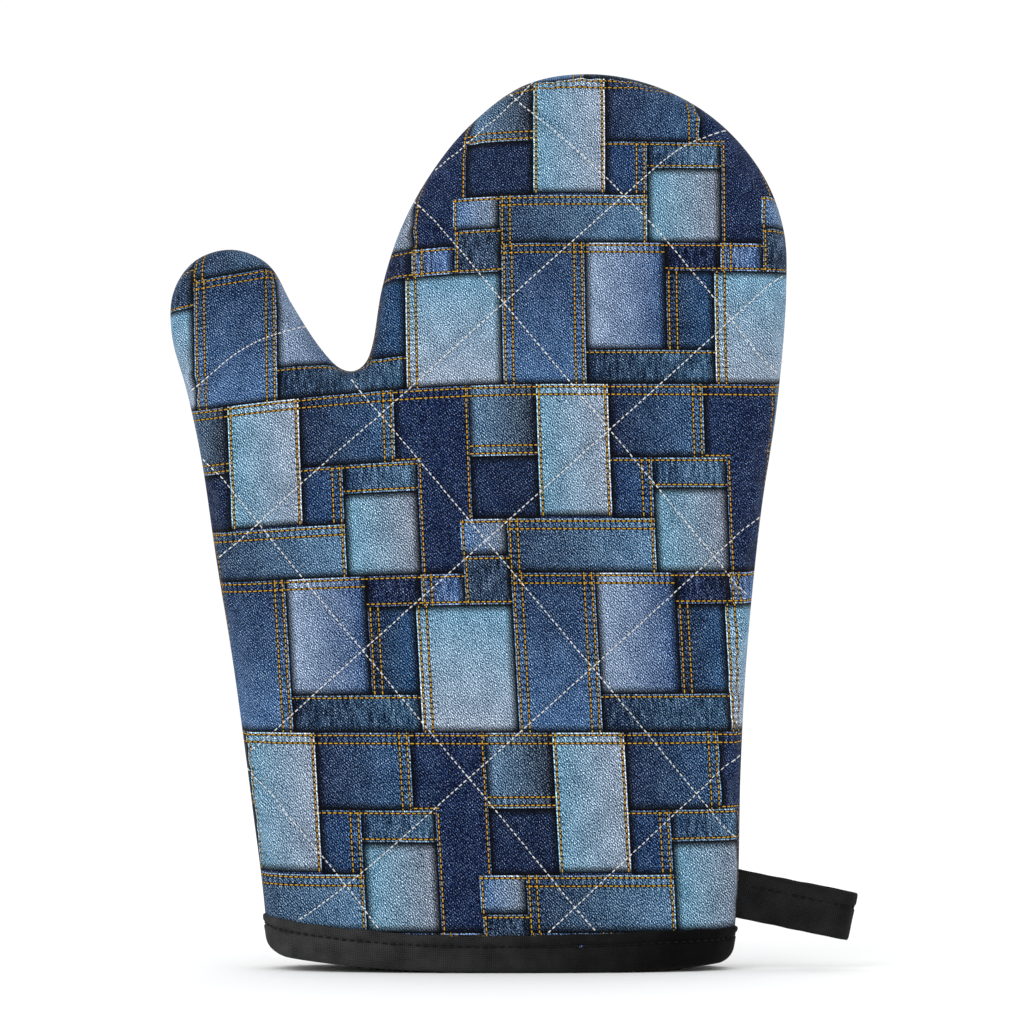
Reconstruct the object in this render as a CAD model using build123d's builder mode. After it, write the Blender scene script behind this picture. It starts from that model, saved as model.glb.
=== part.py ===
from build123d import *

import os
from math import cos, radians, sin

# A quilted oven mitt standing on its cuff, in millimetres.
#
# Two mirrored panels, each a sandwich of printed cloth, wadding and lining quilted together, are
# joined by a side seam in the plane Y = 0. A folded tape binds the cuff, and a folded tape loop
# is sewn into the side seam, to hang the mitt from a hook.
#
# +Z runs from the cuff to the fingertips, +X from the thumb to the little finger and the loop,
# and -Y is the front. The origin is at the middle of the foot of the mitt's bounding box.

# The hand lobe: height, left edge, right edge and half depth of its elliptical sections.
HAND_SECTIONS = [
    (-20.0, -75.5, 68.4, 27.5),
    (0.0, -76.4, 68.6, 27.5),
    (30.0, -79.4, 69.6, 27.5),
    (60.0, -83.0, 70.9, 27.0),
    (100.0, -86.0, 74.2, 26.5),
    (140.0, -78.0, 77.8, 26.0),
    (175.0, -57.5, 82.0, 25.5),
    (195.0, -46.0, 84.9, 25.0),
    (216.5, -41.0, 86.0, 24.5),
]
# The thumb lobe, whose foot lies inside the hand lobe.
THUMB_SECTIONS = [
    (50.0, -66.0, -22.0, 14.0),
    (80.0, -75.0, -20.0, 15.5),
    (100.0, -83.5, -20.0, 17.0),
    (125.0, -92.5, -24.0, 18.5),
    (160.0, -98.0, -36.0, 19.0),
    (187.0, -104.6, -52.5, 17.5),
    (203.5, -107.6, -65.6, 16.0),
]

# The quilted wall, from its outer face in.
SHELL_THICKNESS = 0.6
WADDING_THICKNESS = 4.8
LINING_THICKNESS = 0.6
WADDING_DEPTH = SHELL_THICKNESS
LINING_DEPTH = WADDING_DEPTH + WADDING_THICKNESS
WALL = LINING_DEPTH + LINING_THICKNESS

# A sewing thread: how far it stands off the cloth, and how wide its line of stitches is.
THREAD_HEIGHT = 0.3
THREAD_WIDTH = 0.6

# The tape folded over the raw edge of the cuff, and the line that sews it down.
TAPE_THICKNESS = 0.9
BINDING_HEIGHT = 13.0
BINDING_THREAD_FOOT = 8.9

# The quilting: two sets of parallel lines that cross in diamonds.
QUILTING_PITCH = 51.5
QUILTING_ANGLES = (41.7, 130.0)
QUILTING_CROSSING = (-8.4, 134.1)
QUILTING_LINES_EACH_WAY = 4
QUILTING_FOOT = BINDING_HEIGHT + 0.5
NEEDLE_THREAD_SETBACK = 1.2
BOBBIN_THREAD_SETBACK = 2.0

# The side seam: its thread lies between the waddings, and its trimmed edges are overlocked.
SEAM_THREAD_DEPTH = 1.4
SEAM_GAP = 0.3
OVERLOCK_WIDTH = 4.5
OVERLOCK_HALF_THICKNESS = 1.6
OVERLOCK_FOOT = BINDING_HEIGHT + 0.8

# The hanging loop: a tape folded back on itself, which droops a little from the side seam.
LOOP_WIDTH = 15.0
LOOP_LENGTH = 35.3
LOOP_DROOP = 11.5
LOOP_PLY = 1.2
LOOP_EYE_RADIUS = 3.4
LOOP_EYE_START = 6.0
LOOP_EYE_CENTRE = LOOP_LENGTH - LOOP_PLY - LOOP_EYE_RADIUS
LOOP_HINGE = (71.9, 0.0, 24.0)
LOOP_HINGE_CLEARANCE = 0.3
LOOP_TAIL_LENGTH = 15.0
LOOP_THREAD_RISE = 3.0
LOOP_THREAD_START = 2.5

FRONT, BACK = -1, 1
FAR = 400.0

os.makedirs("parts", exist_ok=True)


def save(piece, label):
    """Names a finished piece and writes it."""
    piece.part.label = label
    export_step(piece.part, f"parts/{label}.step")


def make_lobe(sections, depth):
    """One lobe of the mitt with a round tip, its surface at this depth in the wall."""
    tip_height, tip_left, tip_right, tip_half_depth = sections[-1]
    tip_middle = (tip_left + tip_right) / 2
    with BuildPart() as lobe:
        for height, left, right, half_depth in sections:
            with BuildSketch(Plane.XY.offset(height)):
                with Locations(((left + right) / 2, 0)):
                    Ellipse((right - left) / 2 - depth, half_depth - depth)
        loft()
        with BuildSketch(Plane.XY.offset(tip_height)):
            with Locations((tip_middle, 0)):
                Ellipse((tip_right - tip_left) / 2 - depth, tip_half_depth - depth)
            with Locations((tip_middle - FAR / 2, 0)):
                Rectangle(FAR, FAR, mode=Mode.SUBTRACT)
        revolve(axis=Axis((tip_middle, 0, tip_height), (0, -1, 0)), revolution_arc=180)
    return lobe.part


def make_form(depth):
    """The closed form of the whole mitt at this depth in the wall."""
    hand = make_lobe(HAND_SECTIONS, depth)
    thumb = make_lobe(THUMB_SECTIONS, depth)
    with BuildPart() as form:
        add(hand)
        add(thumb)
    return form.part


def make_layer(outer, inner, foot, top=FAR):
    """The closed layer between two forms and between two heights."""
    with BuildPart() as layer:
        add(outer)
        add(inner, mode=Mode.SUBTRACT)
        with Locations((0, 0, (foot + top) / 2)):
            Box(2 * FAR, FAR, top - foot, mode=Mode.INTERSECT)
    return layer.part


def make_side(layer, side, gap=0.0):
    """The front or back half of a layer, clear of the seam plane by a gap."""
    with BuildPart() as half:
        add(layer)
        with Locations((0, side * (gap + FAR / 2), 0)):
            Box(2 * FAR, FAR, 2 * FAR, mode=Mode.INTERSECT)
    return half.part


def make_quilting_net():
    """The quilting lines, as slabs that run through the whole mitt from front to back."""
    with BuildPart() as net:
        with BuildSketch(Plane.XZ):
            for angle in QUILTING_ANGLES:
                for line in range(-QUILTING_LINES_EACH_WAY, QUILTING_LINES_EACH_WAY + 1):
                    aside = Vector(0, line * QUILTING_PITCH).rotate(Axis.Z, angle)
                    with Locations(Vector(*QUILTING_CROSSING) + aside):
                        Rectangle(2 * FAR, THREAD_WIDTH, rotation=angle)
        extrude(amount=FAR / 2, both=True)
    return net.part


def make_loop_plane():
    """The plane across the loop's tape: its x runs along the tape and its z across its width."""
    along = (cos(radians(LOOP_DROOP)), 0, -sin(radians(LOOP_DROOP)))
    across = (sin(radians(LOOP_DROOP)), 0, cos(radians(LOOP_DROOP)))
    return Plane(origin=LOOP_HINGE, x_dir=along, z_dir=across)


def make_loop_outline(eye_radius, root_half_thickness):
    """A teardrop that runs from the root of the loop to its round fold."""
    with BuildSketch() as outline:
        with Locations((LOOP_EYE_START, 0)):
            Circle(root_half_thickness)
        with Locations((LOOP_EYE_CENTRE, 0)):
            Circle(eye_radius)
        make_hull()
    return outline.sketch


mitt = {
    name: make_form(depth)
    for name, depth in {
        "binding_thread": -TAPE_THICKNESS - THREAD_HEIGHT,
        "binding": -TAPE_THICKNESS,
        "needle_thread": -THREAD_HEIGHT,
        "shell": 0.0,
        "wadding": WADDING_DEPTH,
        "seam_thread": SEAM_THREAD_DEPTH,
        "seam_thread_inside": SEAM_THREAD_DEPTH + THREAD_WIDTH,
        "lining": LINING_DEPTH,
        "hollow": WALL,
        "bobbin_thread": WALL + THREAD_HEIGHT,
        "binding_inside": WALL + TAPE_THICKNESS,
        "binding_thread_inside": WALL + TAPE_THICKNESS + THREAD_HEIGHT,
        "overlock_inside": WALL + OVERLOCK_WIDTH,
    }.items()
}
loop_plane = make_loop_plane()
hinge_x, hinge_y, hinge_z = LOOP_HINGE
hinge_height = LOOP_WIDTH / cos(radians(LOOP_DROOP))

# The end of the loop's two plies, sewn into the side seam. It stops short of the fold.
with BuildPart() as loop_tail:
    with BuildSketch(loop_plane):
        Rectangle(2 * LOOP_TAIL_LENGTH + LOOP_WIDTH, 2 * LOOP_PLY)
    extrude(amount=LOOP_WIDTH / 2, both=True)
    tail_end = hinge_x - LOOP_PLY - LOOP_HINGE_CLEARANCE
    with Locations((tail_end - LOOP_TAIL_LENGTH / 2, 0, hinge_z)):
        Box(LOOP_TAIL_LENGTH, FAR, FAR, mode=Mode.INTERSECT)
save(loop_tail, "loop_tail")

# The two panels: printed cloth outside, wadding, and lining inside, all open at the cuff.
for name, outer, inner, gap in (
    ("shell", "shell", "wadding", 0.0),
    ("wadding", "wadding", "lining", SEAM_GAP),
    ("lining", "lining", "hollow", 0.0),
):
    layer = make_layer(mitt[outer], mitt[inner], TAPE_THICKNESS)
    for side_name, side in (("front", FRONT), ("back", BACK)):
        half = make_side(layer, side, gap)
        with BuildPart() as panel:
            add(half)
            add(loop_tail.part, mode=Mode.SUBTRACT)
        save(panel, f"{name}_{side_name}")

# The quilting thread: the needle's on the printed cloth and the bobbin's on the lining.
net = make_quilting_net()
for name, outer, inner, setback in (
    ("quilting_needle_thread", "needle_thread", "shell", NEEDLE_THREAD_SETBACK),
    ("quilting_bobbin_thread", "hollow", "bobbin_thread", BOBBIN_THREAD_SETBACK),
):
    layer = make_layer(mitt[outer], mitt[inner], QUILTING_FOOT)
    for side_name, side in (("front", FRONT), ("back", BACK)):
        half = make_side(layer, side, setback)
        with BuildPart() as quilting:
            add(half)
            add(net, mode=Mode.INTERSECT)
        save(quilting, f"{name}_{side_name}")

# The tape that binds the cuff: a leg outside, a fold under the wall and a leg inside.
bound_wall = make_layer(mitt["shell"], mitt["hollow"], TAPE_THICKNESS)
folded_tape = make_layer(mitt["binding"], mitt["binding_inside"], 0.0, BINDING_HEIGHT)
with BuildPart() as cuff_binding:
    add(folded_tape)
    add(bound_wall, mode=Mode.SUBTRACT)
save(cuff_binding, "cuff_binding")

# The thread that sews the tape down, seen outside and inside the cuff.
thread_top = BINDING_THREAD_FOOT + THREAD_WIDTH
outside_thread = make_layer(
    mitt["binding_thread"], mitt["binding"], BINDING_THREAD_FOOT, thread_top
)
inside_thread = make_layer(
    mitt["binding_inside"], mitt["binding_thread_inside"], BINDING_THREAD_FOOT, thread_top
)
with BuildPart() as cuff_binding_thread:
    add(outside_thread)
    add(inside_thread)
save(cuff_binding_thread, "cuff_binding_thread")

# The lockstitched line that joins the two panels, between their waddings.
seam_line = make_layer(mitt["seam_thread"], mitt["seam_thread_inside"], TAPE_THICKNESS)
with BuildPart() as side_seam_thread:
    add(seam_line)
    Box(2 * FAR, 2 * SEAM_GAP, 2 * FAR, mode=Mode.INTERSECT)
    add(loop_tail.part, mode=Mode.SUBTRACT)
save(side_seam_thread, "side_seam_thread")

# The trimmed edges of the seam, wrapped in thread, which stand up inside the mitt.
seam_edge = make_layer(mitt["hollow"], mitt["overlock_inside"], OVERLOCK_FOOT)
with BuildPart() as seam_overlock:
    add(seam_edge)
    Box(2 * FAR, 2 * OVERLOCK_HALF_THICKNESS, 2 * FAR, mode=Mode.INTERSECT)
    add(loop_tail.part, mode=Mode.SUBTRACT)
save(seam_overlock, "seam_overlock")

# The free part of the loop: two plies that part around an eye, with a round root to turn on.
with BuildPart() as hanging_loop:
    with BuildSketch(loop_plane):
        add(make_loop_outline(LOOP_EYE_RADIUS + LOOP_PLY, LOOP_PLY))
        Rectangle(2 * LOOP_EYE_START, 2 * LOOP_PLY)
        add(make_loop_outline(LOOP_EYE_RADIUS, LOOP_PLY / 10), mode=Mode.SUBTRACT)
    extrude(amount=LOOP_WIDTH / 2, both=True)
    with Locations((hinge_x + FAR / 2, 0, hinge_z)):
        Box(FAR, FAR, FAR, mode=Mode.INTERSECT)
    with Locations(LOOP_HINGE):
        Cylinder(LOOP_PLY, hinge_height)
save(hanging_loop, "hanging_loop")

# The topstitching that holds the tape's folded edge, on both of its faces.
with BuildPart() as loop_topstitching:
    with BuildSketch(loop_plane.offset(LOOP_THREAD_RISE)):
        add(make_loop_outline(LOOP_EYE_RADIUS + LOOP_PLY + THREAD_HEIGHT, LOOP_PLY + THREAD_HEIGHT))
        add(make_loop_outline(LOOP_EYE_RADIUS + LOOP_PLY, LOOP_PLY), mode=Mode.SUBTRACT)
        with Locations((LOOP_EYE_START - FAR / 2, 0)):
            Rectangle(FAR, FAR, mode=Mode.SUBTRACT)
    extrude(amount=THREAD_WIDTH)
save(loop_topstitching, "loop_topstitching")
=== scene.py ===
"""A quilted oven mitt with a denim patchwork print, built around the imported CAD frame.

The mitt stands on its cuff. X runs from the thumb to the little finger and the hanging loop, -Y is
the front and Z is up. Sizes are in millimetres until a mesh is made, which is in metres.
"""

import logging
import math
from dataclasses import dataclass, field
from enum import Enum
from typing import Any

import bmesh
import bpy
import numpy as np
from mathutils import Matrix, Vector
from mathutils.bvhtree import BVHTree
from mathutils.geometry import delaunay_2d_cdt
from mathutils.interpolate import poly_3d_calc


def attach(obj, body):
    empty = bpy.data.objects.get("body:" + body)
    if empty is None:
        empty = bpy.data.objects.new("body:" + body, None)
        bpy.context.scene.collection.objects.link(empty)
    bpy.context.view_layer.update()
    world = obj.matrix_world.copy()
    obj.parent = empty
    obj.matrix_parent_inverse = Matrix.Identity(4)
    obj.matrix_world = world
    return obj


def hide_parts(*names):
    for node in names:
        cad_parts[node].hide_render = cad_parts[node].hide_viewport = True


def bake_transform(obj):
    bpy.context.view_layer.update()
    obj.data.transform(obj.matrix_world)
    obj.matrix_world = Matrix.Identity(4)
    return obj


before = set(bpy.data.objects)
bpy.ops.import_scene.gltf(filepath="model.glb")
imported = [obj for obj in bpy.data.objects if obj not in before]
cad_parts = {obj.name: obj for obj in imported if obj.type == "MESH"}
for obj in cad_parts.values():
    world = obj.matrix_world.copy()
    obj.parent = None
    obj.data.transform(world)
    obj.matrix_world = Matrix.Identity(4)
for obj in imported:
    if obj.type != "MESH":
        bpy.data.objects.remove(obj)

LOG = logging.getLogger("oven_mitt")
MM = 0.001
CURVE_STEPS = 24
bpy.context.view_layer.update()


class Side(Enum):
    """Which of the two mirrored panels a piece belongs to, by the sign of its Y."""

    FRONT = -1
    BACK = 1


class Fade(Enum):
    """The way a patch's colour fades across the cloth."""

    ACROSS = 0
    DOWN = 1


# ---- Small helpers ----


def linear(colour: str) -> tuple[float, float, float, float]:
    """Turns an sRGB hex colour into a linear one.

    Args:
        colour: The colour as "#rrggbb".

    Returns:
        The linear red, green, blue and an alpha of 1.
    """
    parts = [int(colour[i : i + 2], 16) / 255 for i in (1, 3, 5)]
    low = [c / 12.92 if c <= 0.04045 else ((c + 0.055) / 1.055) ** 2.4 for c in parts]
    return (*low, 1.0)


def set_up(thing: Any, settings: dict[str, Any]) -> None:
    """Sets these properties of a node, a modifier or its settings."""
    for name, value in settings.items():
        setattr(thing, name, value)


def add_node(tree: Any, kind: str, inputs: dict | None = None, output: Any = 0, **settings: Any) -> Any:
    """Adds a shader node, sets it up and links it.

    Args:
        tree: The material's node tree.
        kind: The node's type.
        inputs: Values or output sockets, by the input's index or name.
        output: The index or name of the output to return.
        settings: Properties of the node itself.

    Returns:
        The chosen output socket, or the node where it has none.
    """
    new = tree.nodes.new(kind)
    set_up(new, settings)
    for key, value in (inputs or {}).items():
        if isinstance(value, bpy.types.NodeSocket):
            tree.links.new(value, new.inputs[key])
        else:
            new.inputs[key].default_value = value
    return new.outputs[output] if len(new.outputs) else new


def start_material(name: str) -> tuple[bpy.types.Material, Any]:
    """Starts a material with an empty node tree.

    Args:
        name: The material's name.

    Returns:
        The material and its node tree.
    """
    material = bpy.data.materials.new(name)
    material.use_nodes = True
    material.node_tree.nodes.clear()
    return material, material.node_tree


def finish_material(tree: Any, shader: dict[str, Any], relief: dict[str, Any] | None = None) -> None:
    """Adds the relief, the shader and the output to a material's tree.

    Args:
        tree: The material's node tree.
        shader: The shader's inputs.
        relief: The bump's inputs, or None where the surface is smooth.
    """
    if relief:
        shader["Normal"] = add_node(tree, "ShaderNodeBump", relief)
    surface = add_node(tree, "ShaderNodeBsdfPrincipled", shader)
    add_node(tree, "ShaderNodeOutputMaterial", {"Surface": surface})


def smoothstep(low: float, high: float, value: np.ndarray) -> np.ndarray:
    """Rises smoothly from 0 at low to 1 at high."""
    t = np.clip((value - low) / (high - low), 0, 1)
    return t * t * (3 - 2 * t)


def unit(rows: np.ndarray) -> np.ndarray:
    """Scales each row to a length of 1."""
    return rows / np.linalg.norm(rows, axis=1)[:, None]


def run_along(line: np.ndarray) -> np.ndarray:
    """The distance run along a line at each of its places."""
    return np.concatenate([[0], np.cumsum(np.linalg.norm(np.diff(line, axis=0), axis=1))])


def values_at(at: np.ndarray, run: np.ndarray, values: np.ndarray) -> np.ndarray:
    """Rows of values at these distances along a line, from the rows at its places."""
    return np.stack([np.interp(at, run, column) for column in values.T], axis=1)


def divide(line: np.ndarray, count: int) -> np.ndarray:
    """Divides a line evenly into this many places."""
    run = run_along(line)
    return values_at(np.linspace(0, run[-1], count), run, line)


def smooth_curve(points: list[tuple[float, float]], step: float) -> np.ndarray:
    """Runs a smooth line through points and divides it evenly.

    Args:
        points: The points that the line passes through, in order.
        step: The distance between the places that are returned.

    Returns:
        Places along the line, as rows of two numbers.
    """
    given = np.array(points, float)
    ends = np.vstack([2 * given[0] - given[1], given, 2 * given[-1] - given[-2]])
    knots = np.concatenate([[0], np.cumsum(np.linalg.norm(np.diff(ends, axis=0), axis=1) ** 0.5)])
    fine = []
    for i in range(1, len(ends) - 2):
        t = np.linspace(knots[i], knots[i + 1], CURVE_STEPS, endpoint=False)[:, None]
        a, b, c, d = knots[i - 1 : i + 3]
        p, q, r, s = ends[i - 1 : i + 3]
        pq = (b - t) / (b - a) * p + (t - a) / (b - a) * q
        qr = (c - t) / (c - b) * q + (t - b) / (c - b) * r
        rs = (d - t) / (d - c) * r + (t - c) / (d - c) * s
        left = (c - t) / (c - a) * pq + (t - a) / (c - a) * qr
        right = (d - t) / (d - b) * qr + (t - b) / (d - b) * rs
        fine.append((c - t) / (c - b) * left + (t - b) / (c - b) * right)
    line = np.vstack([*fine, given[-1:]])
    return divide(line, max(2, round(run_along(line)[-1] / step) + 1))


def make_object(name: str, places: np.ndarray, faces: list) -> bpy.types.Object:
    """Makes a mesh object from places in millimetres.

    Args:
        name: The piece's name.
        places: The vertices, in millimetres.
        faces: The faces, as lists of vertex numbers.

    Returns:
        The object, linked to the scene.
    """
    mesh = bpy.data.meshes.new(name)
    mesh.from_pydata((np.asarray(places) * MM).tolist(), [], [list(f) for f in faces])
    mesh.update()
    made = bpy.data.objects.new(name, mesh)
    bpy.context.scene.collection.objects.link(made)
    return made


def places_of(piece: bpy.types.Object) -> np.ndarray:
    """The piece's vertices, in millimetres."""
    flat = np.zeros(len(piece.data.vertices) * 3, np.float32)
    piece.data.vertices.foreach_get("co", flat)
    return flat.reshape(-1, 3).astype(float) / MM


def move_to(piece: bpy.types.Object, places: np.ndarray) -> None:
    """Puts the piece's vertices at these places, in millimetres."""
    piece.data.vertices.foreach_set("co", (places * MM).astype(np.float32).ravel())
    piece.data.update()


def normals_of(piece: bpy.types.Object) -> np.ndarray:
    """The outward directions of the piece's vertices."""
    flat = np.zeros(len(piece.data.vertices) * 3, np.float32)
    piece.data.vertex_normals.foreach_get("vector", flat)
    return flat.reshape(-1, 3).astype(float)


def make_active(piece: bpy.types.Object) -> None:
    """Selects one piece alone and makes it active."""
    bpy.ops.object.select_all(action="DESELECT")
    piece.select_set(True)
    bpy.context.view_layer.objects.active = piece


def apply_modifier(piece: bpy.types.Object, name: str, kind: str, **settings: Any) -> None:
    """Adds a modifier with its settings and applies it at once."""
    make_active(piece)
    modifier = piece.modifiers.new(name, kind)
    set_up(modifier, settings)
    bpy.ops.object.modifier_apply(modifier=name)


def shade_smooth(piece: bpy.types.Object) -> None:
    """Shades every face of the piece smooth."""
    piece.data.polygons.foreach_set("use_smooth", [True] * len(piece.data.polygons))


def waves(places: np.ndarray, pitch: float, seed: int, count: int = 14) -> np.ndarray:
    """A soft random field with no direction, about -1 to 1, made of plane waves.

    Args:
        places: Points as rows of coordinates.
        pitch: The middle wavelength.
        seed: Picks the directions and phases.
        count: How many waves are added.

    Returns:
        The field's value at each place.
    """
    dice = np.random.default_rng(seed)
    total = np.zeros(len(places))
    for _ in range(count):
        direction = dice.normal(size=places.shape[1])
        direction /= np.linalg.norm(direction)
        length = pitch * dice.uniform(0.6, 1.6)
        total += np.sin(places @ direction * 2 * math.pi / length + dice.uniform(0, 2 * math.pi))
    return total / math.sqrt(count)


# ---- The form of the mitt ----

# The side seam from the thumb side of the cuff, round the thumb and the fingers, to the loop side.
SEAM_POINTS = [
    (-76.4, 0.9),
    (-79.9, 36.0),
    (-83.6, 66.0),
    (-88.0, 98.0),
    (-92.9, 128.0),
    (-97.5, 159.0),
    (-102.2, 181.0),
    (-106.8, 198.0),
    (-106.4, 211.5),
    (-99.6, 221.5),
    (-87.6, 225.0),
    (-76.4, 220.2),
    (-69.4, 208.2),
    (-60.2, 194.0),
    (-54.0, 187.6),
    (-49.9, 186.7),
    (-46.2, 189.2),
    (-43.9, 195.5),
    (-41.1, 212.5),
    (-35.3, 231.0),
    (-26.2, 248.0),
    (-13.5, 263.8),
    (4.0, 276.6),
    (25.0, 279.9),
    (46.0, 275.6),
    (64.4, 264.8),
    (78.2, 248.5),
    (84.8, 231.0),
    (85.6, 213.0),
    (82.9, 178.0),
    (77.6, 142.0),
    (73.2, 98.0),
    (71.3, 62.0),
    (70.4, 24.0),
    (68.3, 0.9),
]


@dataclass
class Quilting:
    """The two sets of parallel lines that are stitched through each panel."""

    pitch: float = 51.5
    angles: tuple[float, float] = (41.7, 130.0)
    crossing: tuple[float, float] = (-8.4, 134.1)
    lines_each_way: int = 4
    # The fullness of the thumb drops its lines, and more so towards the fingers.
    thumb_heights: tuple[float, float] = (168.0, 181.0)
    thumb_widths: tuple[float, float] = (52.0, 60.0)
    thumb_edge: float = 95.0
    thumb_drop: float = 9.2
    thumb_curl: float = 0.0131
    thumb_corner: tuple[float, float] = (-51.0, 177.0)
    # The fullness of the fingers bows the lines at the tips, by the little finger and far out.
    tip_start: float = 222.0
    tip_bow: float = 0.003
    side_start: float = 45.0
    side_heights: tuple[float, float] = (215.0, 240.0)
    side_bow: float = 0.013
    far_sides: tuple[float, float] = (-45.0, -38.0)
    far_bow: float = 0.14
    unlay_steps: int = 8

    def lay(self, flat: np.ndarray) -> np.ndarray:
        """Straightens the lines that the fullness of the thumb and the fingertips bends.

        Args:
            flat: Places on a panel as rows of X and Z.

        Returns:
            The places in which every quilting line is straight.
        """
        x, z = flat[:, 0], flat[:, 1]
        share = smoothstep(*self.thumb_heights, z) * smoothstep(*self.thumb_widths, -x)
        drop = self.thumb_drop + self.thumb_curl * np.maximum(0, x + self.thumb_edge) ** 2
        first, second = (self.across(angle) for angle in self.angles)
        beyond = np.maximum(0, (flat - self.crossing) @ first - self.pitch)
        beyond = beyond * smoothstep(*self.far_sides, x)
        beside = smoothstep(*self.side_heights, z) * np.maximum(0, x - self.side_start) ** 2
        laid = flat + np.outer(self.far_bow * beyond + self.side_bow * beside, first)
        laid -= np.outer(self.tip_bow * np.maximum(0, z - self.tip_start) ** 2, second)
        laid[:, 1] += share * drop
        return laid

    def across(self, angle: float) -> np.ndarray:
        """The direction across the lines that run at this angle."""
        turn = math.radians(angle)
        return np.array([-math.sin(turn), math.cos(turn)])

    def unlay(self, laid: np.ndarray) -> np.ndarray:
        """Finds the panel's places whose straightened places are these."""
        flat = laid.copy()
        for _ in range(self.unlay_steps):
            flat += laid - self.lay(flat)
        return flat

    def lines(self, flat: np.ndarray) -> list[np.ndarray]:
        """How far each place lies across each set of lines, counted in line spacings."""
        away = self.lay(flat) - self.crossing
        found = [away @ self.across(angle) / self.pitch for angle in self.angles]
        found[1] = np.where(self.in_thumb(flat), 0.5, found[1])
        return found

    def in_thumb(self, flat: np.ndarray) -> np.ndarray:
        """Which places lie in the upper thumb, where only the first set of lines is sewn."""
        return (flat[:, 0] < self.thumb_corner[0]) & (flat[:, 1] > self.thumb_corner[1])

    def distance(self, flat: np.ndarray) -> np.ndarray:
        """The distance from each place to the nearest quilting line."""
        return np.min([np.abs(c - np.round(c)) for c in self.lines(flat)], axis=0) * self.pitch


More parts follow.
